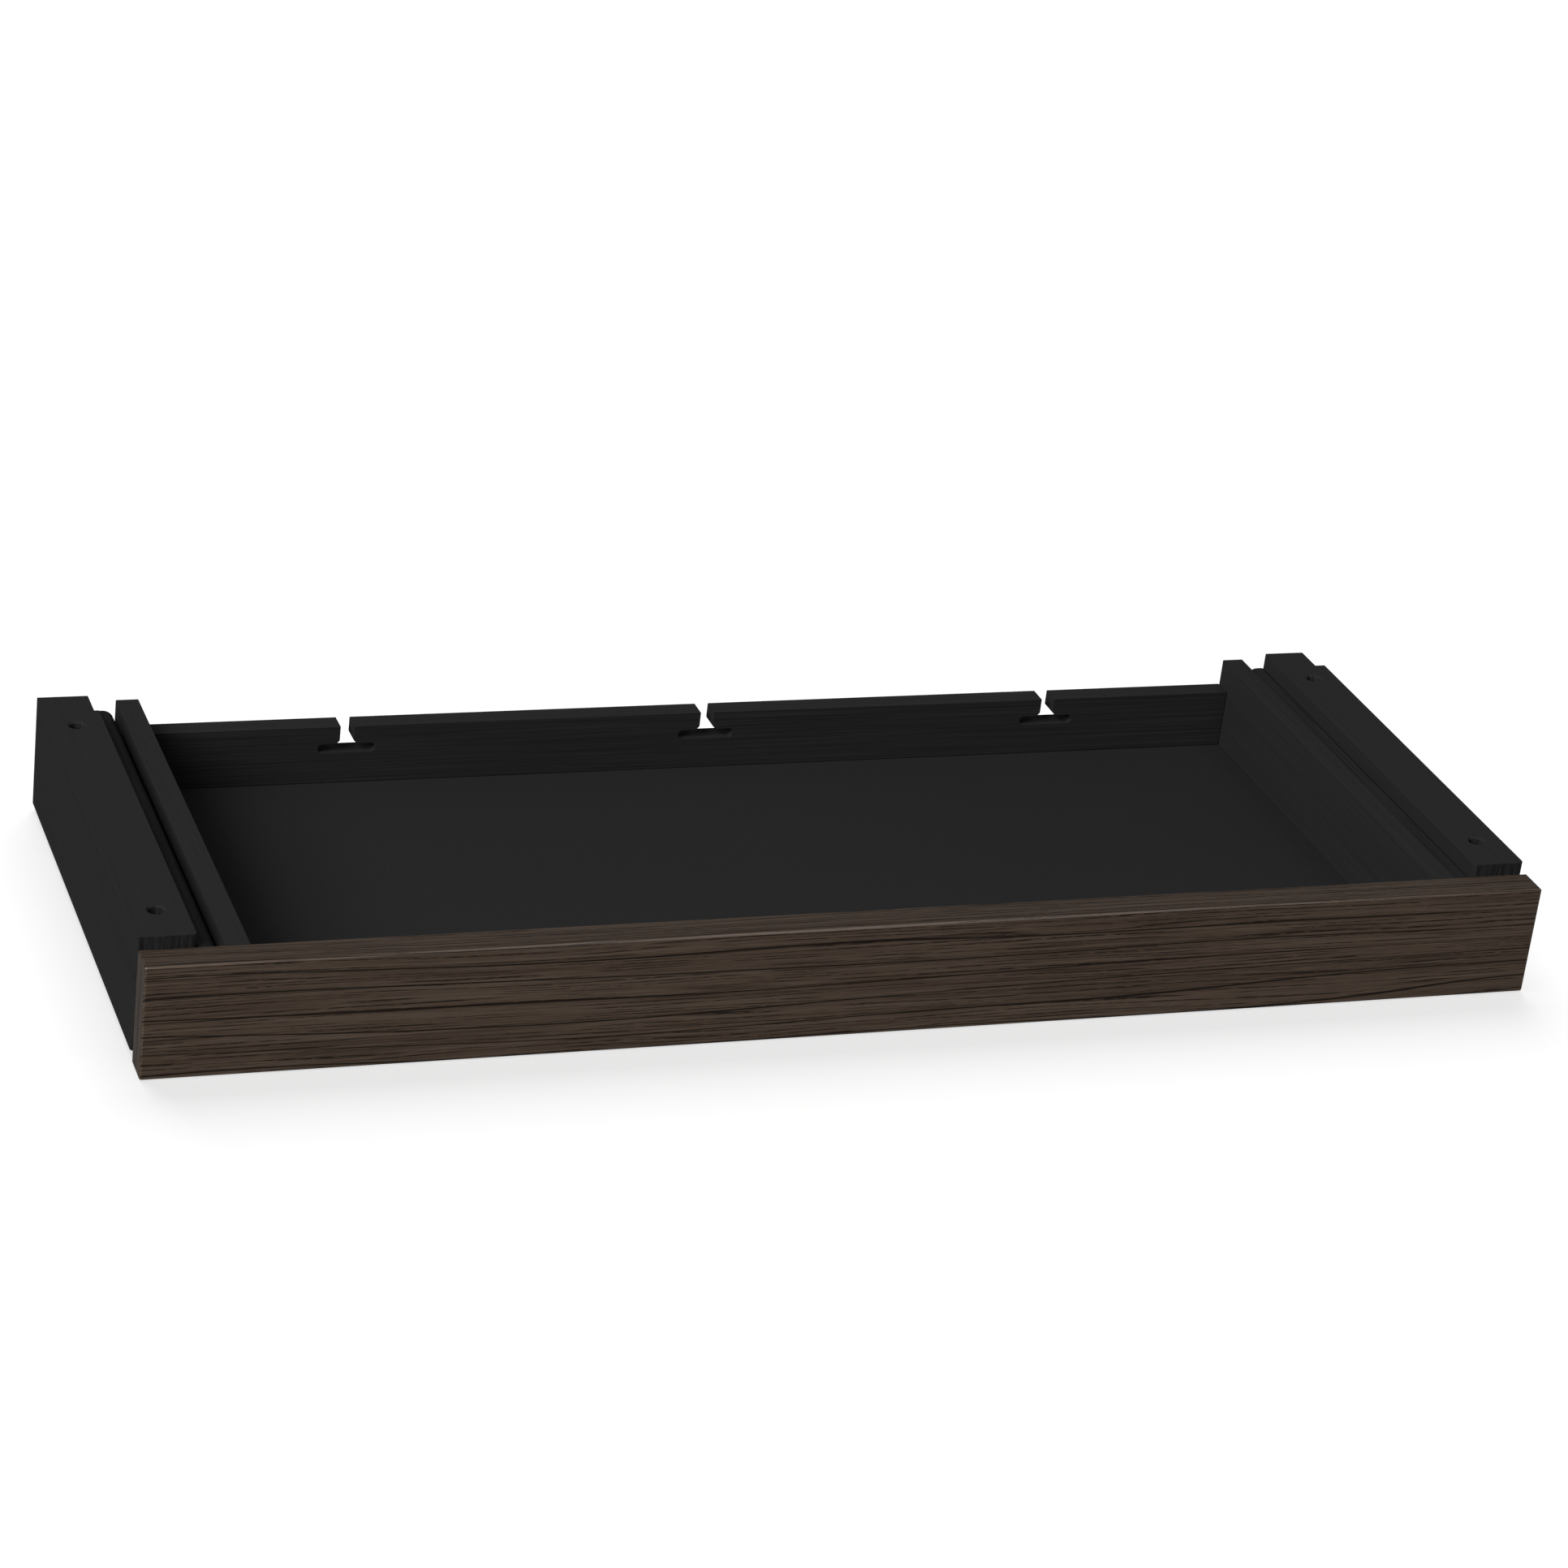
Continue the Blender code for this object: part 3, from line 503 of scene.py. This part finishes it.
def round_hole(radius, place, direction, depth, chamfer=HOLE_CHAMFER):
    """A cutter for a round hole with a small chamfer, that starts at place and runs depth into direction."""
    profile = [
        (0, CUT_OVER),
        (radius + chamfer + CUT_OVER, CUT_OVER),
        (radius, -chamfer),
        (radius, -depth),
        (0, -depth),
    ]
    return settle(turned("hole_cutter", profile, place=place, direction=-direction))


def through_hole(radius, place, direction, depth, chamfer):
    """A cutter for a round hole that runs right through, from place, with a chamfer at both mouths."""
    mouth = [(0, CUT_OVER), (radius + chamfer + CUT_OVER, CUT_OVER), (radius, -chamfer)]
    profile = mouth + [(r, -depth - height) for r, height in reversed(mouth)]
    return settle(turned("hole_cutter", profile, place=place, direction=-direction))


def blind_hole(node, low, high, direction, radius=PILOT_RADIUS):
    """A cutter for the hole of a screw or peg that runs in direction into the board between low and high."""
    pin_low, pin_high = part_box(node)
    axis = max(range(3), key=lambda i: abs(direction[i]))
    entry, tip = (low, pin_high) if direction[axis] > 0 else (high, pin_low)
    place = (pin_low + pin_high) / 2
    place[axis] = entry[axis]
    return round_hole(radius, place, direction, abs(tip[axis] - entry[axis]) + FIT)


def dowel_hole(tag, level, low, high, direction):
    """A cutter for the hole of one dowel in the board between low and high."""
    node = f"front_dowel_{level}_{tag}"
    peg_low, peg_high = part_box(node)
    return blind_hole(node, low, high, direction, (peg_high.x - peg_low.x) / 2 + FIT)


def head_and_length(node, direction):
    """The middle of the outer face of the head of a screw driven in direction, and the screw's length."""
    low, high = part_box(node)
    length = Vector(abs(part) for part in direction).dot(high - low)
    return (low + high) / 2 - direction * length / 2, length


def countersink(node, direction):
    """A cutter for the seat and clearance hole of a countersunk screw that runs in direction."""
    head, length = head_and_length(node, direction)
    profile = [
        (0, CUT_OVER),
        (COUNTERSINK_RADIUS, CUT_OVER),
        (COUNTERSINK_RADIUS, -FIT),
        (CLEARANCE_RADIUS, -TAPER_HEIGHT - 0.2 * MM),
        (CLEARANCE_RADIUS, -length),
        (0, -length),
    ]
    return settle(turned("countersink_cutter", profile, place=head, direction=-direction))


# ---------------------------------------------------------------- boards


def front_panel():
    """The ash-faced front: chamfered edges, a groove for the drawer bottom, and dowel holes behind."""
    low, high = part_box("front_panel")
    panel = new_object("ash_front", box_cage(low, high), ash)
    modify(panel, "BEVEL", width=PANEL_EDGE, segments=1)
    bottom_low, bottom_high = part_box("drawer_bottom")
    groove_low = (bottom_low.x - FIT, high.y - GROOVE_DEPTH - FIT, bottom_low.z - FIT)
    groove_high = (bottom_high.x + FIT, high.y + CUT_OVER, bottom_high.z + FIT)
    cutters = [new_object("groove_cutter", box_cage(groove_low, groove_high))]
    cutters += [dowel_hole(tag, level, low, high, -Y_AXIS) for tag in SIDES for level in LEVELS]
    complete(panel, "drawer", "front_panel", cutters)


def mounting_block(tag, side):
    """A solid wooden block with two desk screw holes, rounded at its front corners and rebated behind."""
    low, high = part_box(f"mounting_block_{tag}")
    narrow = high.x - REBATE_DEPTH[side]
    rebate = high.y - REBATE_LENGTH
    height = high.z - low.z
    front = [(low.x, low.y), (high.x, low.y)]
    rear = [(high.x, rebate), (narrow, rebate), (narrow, high.y), (low.x, high.y)]
    outline = rounded(front + rear, [BLOCK_CORNER, BLOCK_CORNER, 0, 0, 0, 0])
    foot = [(x, y, low.z) for x, y in outline]
    block = new_object(f"block_{tag}", drawn_out(foot, (0, 0, height)), block_wood)
    modify(block, "BEVEL", width=BLOCK_EDGE, segments=2)
    cutters = []
    for from_front in BLOCK_HOLE_FROM_FRONT:
        place = ((low.x + high.x) / 2, low.y + from_front, high.z)
        cutters.append(through_hole(BLOCK_HOLE_RADIUS, place, -Z_AXIS, height, BLOCK_HOLE_CHAMFER))
    cutters += [blind_hole(f"block_screw_{end}_{tag}", low, high, side * X_AXIS) for end in ENDS]
    complete(block, "desk_mount", f"mounting_block_{tag}", cutters)


def drawer_side(tag, side):
    """A side board, grooved for the drawer bottom."""
    low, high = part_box(f"drawer_side_{tag}")
    bottom_low, bottom_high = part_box("drawer_bottom")
    inner, outer = (low.x, high.x) if side > 0 else (high.x, low.x)
    deep = inner + side * (GROOVE_DEPTH + FIT)
    outline = [
        (inner, high.z),
        (outer, high.z),
        (outer, low.z),
        (inner, low.z),
        (inner, bottom_low.z - FIT),
        (deep, bottom_low.z - FIT),
        (deep, bottom_high.z + FIT),
        (inner, bottom_high.z + FIT),
    ]
    front = [(x, low.y, z) for x, z in outline]
    board = new_object(f"side_board_{tag}", drawn_out(front, (0, high.y - low.y, 0)), side_wood)
    modify(board, "BEVEL", width=BOARD_EDGE, segments=2)
    cutters = [dowel_hole(tag, level, low, high, Y_AXIS) for level in LEVELS]
    cutters += [blind_hole(f"side_screw_{end}_{tag}", low, high, -side * X_AXIS) for end in ENDS]
    cutters += [countersink(f"rail_screw_{level}_{tag}", -side * X_AXIS) for level in LEVELS]
    complete(board, "drawer", f"drawer_side_{tag}", cutters)


def back_rail():
    """The rear board, with three T-shaped slots that cables drop into from above."""
    low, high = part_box("back_rail")
    roof = high.z - SLOT_ROOF_BELOW_RAIL_TOP
    foot = roof - SLOT_HEIGHT
    half_neck = SLOT_NECK / 2
    half_width = SLOT_WIDTH / 2
    soft = 0.6 * SLOT_FLARE
    round_end = SLOT_HEIGHT / 2.01
    half_slot = [
        (half_neck, high.z, 0),
        (half_neck, roof + SLOT_FLARE, soft),
        (half_neck + SLOT_FLARE, roof, soft),
        (half_width, roof, round_end),
        (half_width, foot, round_end),
    ]
    slot = half_slot + [(-x, z, radius) for x, z, radius in reversed(half_slot)]
    corners = [(high.x, low.z, 0), (high.x, high.z, 0)]
    for middle in (SLOT_SPACING, 0, -SLOT_SPACING):
        corners += [(middle + x, z, radius) for x, z, radius in slot]
    corners += [(low.x, high.z, 0), (low.x, low.z, 0)]
    outline = rounded([(x, z) for x, z, radius in corners], [corner[2] for corner in corners], steps=8)
    front = [(x, low.y, z) for x, z in outline]
    rail = new_object("cable_rail", drawn_out(front, (0, high.y - low.y, 0)), rail_wood)
    modify(rail, "BEVEL", width=BOARD_EDGE, segments=2)
    cutters = []
    for tag, side in SIDES.items():
        cutters += [blind_hole(f"rail_screw_{level}_{tag}", low, high, -side * X_AXIS) for level in LEVELS]
    cutters += [blind_hole(f"bottom_screw_{number}", low, high, Z_AXIS) for number in BOTTOM_SCREWS]
    complete(rail, "drawer", "back_rail", cutters)


def drawer_bottom():
    """The thin board in the grooves, screwed up into the back rail."""
    low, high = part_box("drawer_bottom")
    bottom = new_object("bottom_board", box_cage(low, high), bottom_paint)
    modify(bottom, "BEVEL", width=BOARD_EDGE, segments=1)
    cutters = [countersink(f"bottom_screw_{number}", Z_AXIS) for number in BOTTOM_SCREWS]
    complete(bottom, "drawer", "drawer_bottom", cutters)


# ---------------------------------------------------------------- slides


def rolled_member(name, node, side, web_on_block, lip):
    """A rolled sheet section: a web, two flanges and, where lip isn't 0, lips turned in. It comes with the
    X of its web's middle."""
    low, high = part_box(node)
    near_block, near_drawer = (high.x, low.x) if side > 0 else (low.x, high.x)
    web, mouth = (near_block, near_drawer) if web_on_block else (near_drawer, near_block)
    inward = math.copysign(SHEET / 2, mouth - web)
    web += inward
    top = high.z - SHEET / 2
    upper = [(mouth, top), (web, top)]
    bends = [0, WEB_BEND]
    if lip:
        mouth -= inward
        upper = [(mouth, high.z - lip), (mouth, top), (web, top)]
        bends = [0, LIP_BEND, WEB_BEND]
    lower = [(x, low.z + high.z - z) for x, z in reversed(upper)]
    line = rounded(upper + lower, bends + bends[::-1])
    builder = bmesh.new()
    front = [builder.verts.new((x, low.y, z)) for x, z in line]
    rear = [builder.verts.new((x, high.y, z)) for x, z in line]
    for i in range(len(line) - 1):
        builder.faces.new((front[i], front[i + 1], rear[i + 1], rear[i]))
    member = new_object(name, builder, steel)
    modify(member, "SOLIDIFY", thickness=SHEET, offset=0.0, use_even_offset=True)
    return member, web


def web_holes(web, middle_z, holes):
    """One cutter for all the holes through a web: each hole is (y, width along Y, height along Z)."""
    builder = bmesh.new()
    reach = 2.5 * SHEET
    for y, width, height in holes:
        half_width, half_height = width / 2, height / 2
        corners = [
            (y - half_width, middle_z - half_height),
            (y + half_width, middle_z - half_height),
            (y + half_width, middle_z + half_height),
            (y - half_width, middle_z + half_height),
        ]
        outline = rounded(corners, [0.999 * min(half_width, half_height)] * 4)
        part = drawn_out([(web - reach, a, b) for a, b in outline], (2 * reach, 0, 0))
        mesh = bpy.data.meshes.new("hole")
        part.to_mesh(mesh)
        part.free()
        builder.from_mesh(mesh)
        bpy.data.meshes.remove(mesh)
    return new_object("web_hole_cutter", builder)


def punched_member(part, tag, body, web_on_block, lip, round_holes, pattern):
    """A slide member with its round holes, from the nodes that sit in them to their width, and the
    pattern of its other holes."""
    node = f"slide_{part}_{tag}"
    member, web = rolled_member(f"{part}_member_{tag}", node, SIDES[tag], web_on_block, lip)
    low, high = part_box(f"slide_outer_{tag}")
    holes = []
    for pin, width in round_holes.items():
        pin_low, pin_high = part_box(pin)
        holes.append(((pin_low.y + pin_high.y) / 2, width, width))
    for width, height, distances in pattern:
        holes += [(low.y + distance * MM, width * MM, height * MM) for distance in distances]
    cutters = [web_holes(web, (low.z + high.z) / 2, holes)]
    complete(member, body, node, cutters, MEMBER_SHARP_DEGREES)


def ball_row(row, level, tag):
    """A row of steel balls in their retainer, a thin strip punched with a window for each ball."""
    node = f"{row}_balls_{level}_{tag}"
    low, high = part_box(node)
    middle = (low + high) / 2
    radius = (high.z - low.z) / 2
    half_width = (high.x - low.x) / 2
    half_pitch = BALL_PITCH / 2
    half_thickness = RETAINER_THICKNESS / 2
    count = int((high.y - low.y) / BALL_PITCH)
    first = low.y + (high.y - low.y - (count - 1) * BALL_PITCH) / 2
    window = 0.92 * radius
    outside, inside = [], []
    for i in range(8):
        turn = i * math.pi / 4
        c, s = math.cos(turn), math.sin(turn)
        to_edge = max(abs(c), abs(s))
        outside.append((c / to_edge * half_width, s / to_edge * half_pitch))
        inside.append((c * window, s * window))
    builder = bmesh.new()
    rings = []
    for points in (outside, inside):
        for height in (-half_thickness, half_thickness):
            ring = [(middle.x + x, first + y, middle.z + height) for x, y in points]
            rings.append([builder.verts.new(point) for point in ring])
    outer_foot, outer_top, inner_foot, inner_top = rings
    for i in range(8):
        j = (i + 1) % 8
        builder.faces.new((outer_top[i], outer_top[j], inner_top[j], inner_top[i]))
        builder.faces.new((outer_foot[j], outer_foot[i], inner_foot[i], inner_foot[j]))
        builder.faces.new((outer_foot[i], outer_foot[j], outer_top[j], outer_top[i]))
        builder.faces.new((inner_foot[j], inner_foot[i], inner_top[i], inner_top[j]))
    ball = Matrix.Translation((middle.x, first, middle.z))
    bmesh.ops.create_icosphere(builder, subdivisions=2, radius=radius, matrix=ball)
    strip = new_object(f"retainer_{row}_{level}_{tag}", builder, zinc)
    strip.data.shade_smooth()
    strip.data.set_sharp_from_angle(angle=math.radians(45))
    modify(
        strip,
        "ARRAY",
        count=count,
        use_relative_offset=False,
        use_constant_offset=True,
        constant_offset_displace=(0, BALL_PITCH, 0),
    )
    place_piece(strip, f"{row}_balls_{tag}", node)


def slide(tag, side):
    """One ball-bearing slide: three nested rolled members, their balls, the screws, the stop bumper and the
    release lever."""
    to_block = {f"block_screw_{end}_{tag}": WEB_SCREW_HOLE for end in ENDS}
    to_side = {f"side_screw_{end}_{tag}": WEB_SCREW_HOLE for end in ENDS}
    to_side[f"lever_rivet_{tag}"] = WEB_RIVET_HOLE
    punched_member("outer", tag, "desk_mount", True, LIP, to_block, OUTER_HOLES)
    punched_member("middle", tag, f"middle_{tag}", True, 0, {}, MIDDLE_HOLES)
    punched_member("inner", tag, "drawer", False, 0, to_side, INNER_HOLES)
    for row in ("outer", "inner"):
        for level in LEVELS:
            ball_row(row, level, tag)
    for end in ENDS:
        pan_screw(f"block_screw_{end}_{tag}", side * X_AXIS, "desk_mount")
        pan_screw(f"side_screw_{end}_{tag}", -side * X_AXIS, "drawer")
    stop_bumper(tag)
    release_lever(tag)
    lever_rivet(tag, side)


def stop_bumper(tag):
    """The moulded bumper at the rear of the slide, with a slot across it so that it can give."""
    low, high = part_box(f"stop_bumper_{tag}")
    middle_z = (low.z + high.z) / 2
    back = high.y - BUMPER_BACK
    slot_top, slot_foot = middle_z + BUMPER_HALF_SLOT, middle_z - BUMPER_HALF_SLOT
    points = [(low.y, low.z), (high.y, low.z), (high.y, high.z), (low.y, high.z)]
    points += [(low.y, slot_top), (back, slot_top), (back, slot_foot), (low.y, slot_foot)]
    radii = [1.2 * MM, 0, 0, 1.2 * MM, 0.7 * MM, 0.5 * MM, 0.5 * MM, 0.7 * MM]
    outline = [(low.x, y, z) for y, z in rounded(points, radii, steps=4)]
    bumper = new_object(f"bumper_{tag}", drawn_out(outline, (high.x - low.x, 0, 0)), acetal)
    modify(bumper, "BEVEL", width=BUMPER_EDGE, segments=2)
    complete(bumper, "desk_mount", f"stop_bumper_{tag}")


def release_lever(tag):
    """The moulded lever that frees the drawer, with a ribbed finger pad."""
    low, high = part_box(f"release_lever_{tag}")
    rivet_low, rivet_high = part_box(f"lever_rivet_{tag}")
    pivot = (rivet_low + rivet_high) / 2
    tall = (high.z - low.z) / 2
    waist = 0.6 * tall
    heel = low.y - pivot.y
    tip = high.y - pivot.y - tall
    middle_z = (low.z + high.z) / 2
    points = [
        (heel, -tall),
        (0.5 * tip, -waist),
        (tip, -tall),
        (tip + tall, 0),
        (tip, tall),
        (0.5 * tip, waist),
        (heel, tall),
    ]
    outline = rounded(points, [0.9 * tall, 4 * MM, 1 * MM, 1 * MM, 1 * MM, 4 * MM, 0.9 * tall], steps=5)
    face = [(low.x, pivot.y + y, middle_z + z) for y, z in outline]
    lever = new_object(f"lever_{tag}", drawn_out(face, (high.x - low.x, 0, 0)), acetal)
    modify(lever, "BEVEL", width=LEVER_EDGE, segments=2)
    ribs = bmesh.new()
    groove = Matrix.Diagonal((RIB_GROOVE, RIB_GROOVE, 1.5 * tall, 1))
    for i in range(RIB_COUNT):
        y = pivot.y + tip - 2 * MM - i * RIB_PITCH
        for x in (low.x, high.x):
            bmesh.ops.create_cube(ribs, size=1.0, matrix=Matrix.Translation((x, y, middle_z)) @ groove)
    hole = round_hole(LEVER_HOLE_RADIUS, (low.x, pivot.y, pivot.z), X_AXIS, 5 * MM, 0.2 * MM)
    cutters = [new_object("finger_rib_cutter", ribs), hole]
    complete(lever, f"lever_{tag}", f"release_lever_{tag}", cutters)


# ---------------------------------------------------------------- screws, rivets and dowels


def cross_recess(radius, depth, place, direction):
    """Two cutters for the cross that a screwdriver fits, one for each arm."""
    arm = 0.62 * radius
    half_width = 0.16 * radius
    stood = Matrix.Translation(place) @ Z_AXIS.rotation_difference(direction).to_matrix().to_4x4()
    cutters = []
    for x, y in ((arm, half_width), (half_width, arm)):
        builder = box_cage((-x, -y, -depth), (x, y, radius))
        for vert in builder.verts:
            if vert.co.z < 0:
                vert.co.x *= 0.55
                vert.co.y *= 0.7
        cutter = new_object("cross_cutter", builder)
        cutter.data.transform(stood)
        cutters.append(cutter)
    return cutters


def thread(start, end):
    """The ridges of a wood screw's thread, as (radius, height) points between two heights."""
    core = THREAD_CORE * SCREW_SHANK_RADIUS
    points = []
    count = int((start - end) / THREAD_PITCH)
    for i in range(count):
        z = start - i * THREAD_PITCH
        points += [(core, z), (core, z - 0.45 * THREAD_PITCH), (SCREW_SHANK_RADIUS, z - 0.7 * THREAD_PITCH)]
    points.append((core, start - count * THREAD_PITCH))
    return points


def wood_screw(name, node, body, direction, head, thread_start, cross_depth):
    """A zinc-plated wood screw with a cross recess, driven in direction. head is the profile of its head and
    plain neck, from the top down."""
    top, length = head_and_length(node, direction)
    point = [(0.15 * MM, -length + 0.1 * MM), (0, -length)]
    profile = head + thread(thread_start, -length + SCREW_POINT) + point
    screw = settle(turned(name, profile, zinc, 24, top, -direction))
    cut(screw, *cross_recess(SCREW_HEAD_RADIUS, cross_depth, top, -direction))
    settle(screw)
    screw.data.set_sharp_from_angle(angle=math.radians(35))
    place_piece(screw, body, node)


def pan_screw(node, direction, body):
    """A screw with a low domed head that bears on the slide."""
    name = node.replace("screw", "pan_screw")
    head, under = SCREW_HEAD_RADIUS, -PAN_HEAD_HEIGHT
    dome = [(0, 0), (0.45 * head, -0.03 * MM), (0.78 * head, -0.2 * MM), (0.95 * head, -0.55 * MM)]
    dome += [(head, -0.95 * MM), (0.96 * head, under), (SCREW_SHANK_RADIUS, under)]
    wood_screw(name, node, body, direction, dome, under - PAN_NECK, 0.9 * MM)


def countersunk_screw(node, direction):
    """A screw of the drawer whose tapered head lies flush with the board."""
    name = node.replace("screw", "wood_screw")
    head, neck_end = SCREW_HEAD_RADIUS, -6 * MM
    taper = [(0, -0.05 * MM), (0.9 * head, -0.05 * MM), (head, -0.2 * MM)]
    taper += [(SCREW_SHANK_RADIUS, -TAPER_HEIGHT), (SCREW_SHANK_RADIUS, neck_end)]
    wood_screw(name, node, "drawer", direction, taper, -TAPER_HEIGHT - TAPERED_NECK, 1.3 * MM)


def lever_rivet(tag, side):
    """The domed rivet that the release lever turns on."""
    node = f"lever_rivet_{tag}"
    low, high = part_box(node)
    middle = (low + high) / 2
    length = high.x - low.x
    head = (high.z - low.z) / 2
    start = high.x if side > 0 else low.x
    shank = RIVET_SHANK_RADIUS
    profile = [(0, 0), (0.5 * head, -0.04 * MM), (0.85 * head, -0.18 * MM), (head, -0.4 * MM)]
    profile += [(head, -0.6 * MM), (shank, -0.6 * MM), (shank, -length), (0, -length)]
    rivet = turned(f"rivet_{tag}", profile, zinc, 24, (start, middle.y, middle.z), side * X_AXIS)
    settle(rivet)
    rivet.data.set_sharp_from_angle(angle=math.radians(35))
    place_piece(rivet, "drawer", node)


def dowel(level, tag):
    """A fluted birch dowel with chamfered ends."""
    node = f"front_dowel_{level}_{tag}"
    low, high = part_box(node)
    middle = (low + high) / 2
    radius = (high.z - low.z) / 2
    sides = 2 * DOWEL_FLUTES
    stations = (
        (low.y, 0.82),
        (low.y + DOWEL_CHAMFER, 1),
        (high.y - DOWEL_CHAMFER, 1),
        (high.y, 0.82),
    )
    builder = bmesh.new()
    rings = []
    for y, share in stations:
        ring = []
        for i in range(sides):
            turn = i * math.pi / DOWEL_FLUTES
            reach = radius * share * (1.0 if i % 2 else 0.93)
            x, z = middle.x + reach * math.cos(turn), middle.z + reach * math.sin(turn)
            ring.append(builder.verts.new((x, y, z)))
        rings.append(ring)
    for first, second in zip(rings, rings[1:]):
        for i in range(sides):
            j = (i + 1) % sides
            builder.faces.new((first[i], first[j], second[j], second[i]))
    builder.faces.new(rings[0])
    builder.faces.new(rings[-1])
    peg = new_object(f"dowel_{level}_{tag}", builder, birch)
    shade(peg)
    place_piece(peg, "drawer", node)


front_panel()
back_rail()
drawer_bottom()
for tag, side in SIDES.items():
    mounting_block(tag, side)
    drawer_side(tag, side)
    slide(tag, side)
    for level in LEVELS:
        countersunk_screw(f"rail_screw_{level}_{tag}", -side * X_AXIS)
        dowel(level, tag)
for number in BOTTOM_SCREWS:
    countersunk_screw(f"bottom_screw_{number}", Z_AXIS)


# ---------------------------------------------------------------- floor, light and camera


def floor():
    """A wide white studio floor, bright enough in itself that only faint shade shows on it. It adds no
    light to the object, and from underneath it is clear."""
    made, tree, shader = new_finish("white_studio_paper", "", Roughness=1.0)
    shader.inputs["Base Color"].default_value = (0.9, 0.9, 0.9, 1)
    shader.inputs["Specular IOR Level"].default_value = 0.0
    shader.inputs["Emission Color"].default_value = (1, 1, 1, 1)
    shader.inputs["Emission Strength"].default_value = 0.65
    below = add_node(tree, "NewGeometry").outputs["Backfacing"]
    clear = add_node(tree, "Math", {0: 1.0, 1: below}, operation="SUBTRACT").outputs[0]
    tree.links.new(clear, shader.inputs["Alpha"])
    height = cad_low.z - 0.2 * MM
    builder = bmesh.new()
    corners = [(a * FLOOR_REACH, b * FLOOR_REACH, height) for a, b in ((-1, -1), (1, -1), (1, 1), (-1, 1))]
    builder.faces.new([builder.verts.new(corner) for corner in corners])
    ground = new_object("studio_floor", builder, made)
    ground.visible_diffuse = False
    ground.visible_glossy = False
    return ground


def softbox(name, light, ground, on_ground=False, shines=True):
    """A large square light. It lights the ground only, or everything else, and shines on glossy surfaces
    unless shines is False."""
    towards, distance, size, watts = light
    data = bpy.data.lights.new(name, "AREA")
    data.shape = "SQUARE"
    data.size = size
    data.energy = watts
    lamp = bpy.data.objects.new(name, data)
    lamp.location = Vector(towards).normalized() * distance
    lamp.rotation_mode = "QUATERNION"
    lamp.rotation_quaternion = lamp.location.to_track_quat("Z", "Y")
    lamp.visible_glossy = shines
    bpy.context.scene.collection.objects.link(lamp)
    lit = bpy.data.collections.new(f"lit_by_{name}")
    lit.objects.link(ground)
    lit.collection_objects[0].light_linking.link_state = "INCLUDE" if on_ground else "EXCLUDE"
    lamp.light_linking.receiver_collection = lit


def studio(ground):
    """One very large soft light from the upper left, a smaller one from above for the edges' shine, two
    low ones that show the right side and the rear, a soft one for the floor, and a white surround that
    is dim as a light."""
    world = bpy.data.worlds.new("white_surround")
    bpy.context.scene.world = world
    world.use_nodes = True
    tree = world.node_tree
    ray = add_node(tree, "LightPath")
    lights = {"Value": ray.outputs["Is Glossy Ray"], "To Min": 0.2, "To Max": 0.13}
    dim = add_node(tree, "MapRange", lights).outputs[0]
    seen = {0: ray.outputs["Is Camera Ray"], 2: dim, 3: 1.0}
    strength = add_node(tree, "Mix", seen).outputs[0]
    background = tree.nodes["Background"]
    background.inputs["Color"].default_value = (1, 1, 1, 1)
    tree.links.new(strength, background.inputs["Strength"])
    softbox("left_light", LEFT_LIGHT, ground)
    softbox("edge_light", EDGE_LIGHT, ground)
    softbox("right_light", RIGHT_LIGHT, ground, shines=False)
    softbox("rear_light", REAR_LIGHT, ground, shines=False)
    softbox("floor_light", FLOOR_LIGHT, ground, on_ground=True)
    bpy.context.scene.view_settings.view_transform = "Standard"


def camera():
    """In front and to the left, looking down, rolled a little, with a long lens."""
    level_reach = math.cos(CAMERA_ELEVATION)
    back_x = math.sin(CAMERA_AZIMUTH) * level_reach
    back_y = -math.cos(CAMERA_AZIMUTH) * level_reach
    back = Vector((back_x, back_y, math.sin(CAMERA_ELEVATION)))
    right = (-back).cross(Z_AXIS).normalized()
    up = back.cross(right)
    rolled_right = math.cos(CAMERA_ROLL) * right + math.sin(CAMERA_ROLL) * up
    rolled_up = math.cos(CAMERA_ROLL) * up - math.sin(CAMERA_ROLL) * right
    data = bpy.data.cameras.new("camera")
    data.sensor_width = 36
    data.lens = CAMERA_LENS_MM
    data.clip_start = 0.05
    data.clip_end = 100
    made = bpy.data.objects.new("camera", data)
    turn = Matrix((rolled_right, rolled_up, back)).transposed().to_4x4()
    made.matrix_world = Matrix.Translation(CAMERA_PLACE) @ turn
    bpy.context.scene.collection.objects.link(made)
    bpy.context.scene.camera = made


studio(floor())
camera()

bpy.context.view_layer.update()
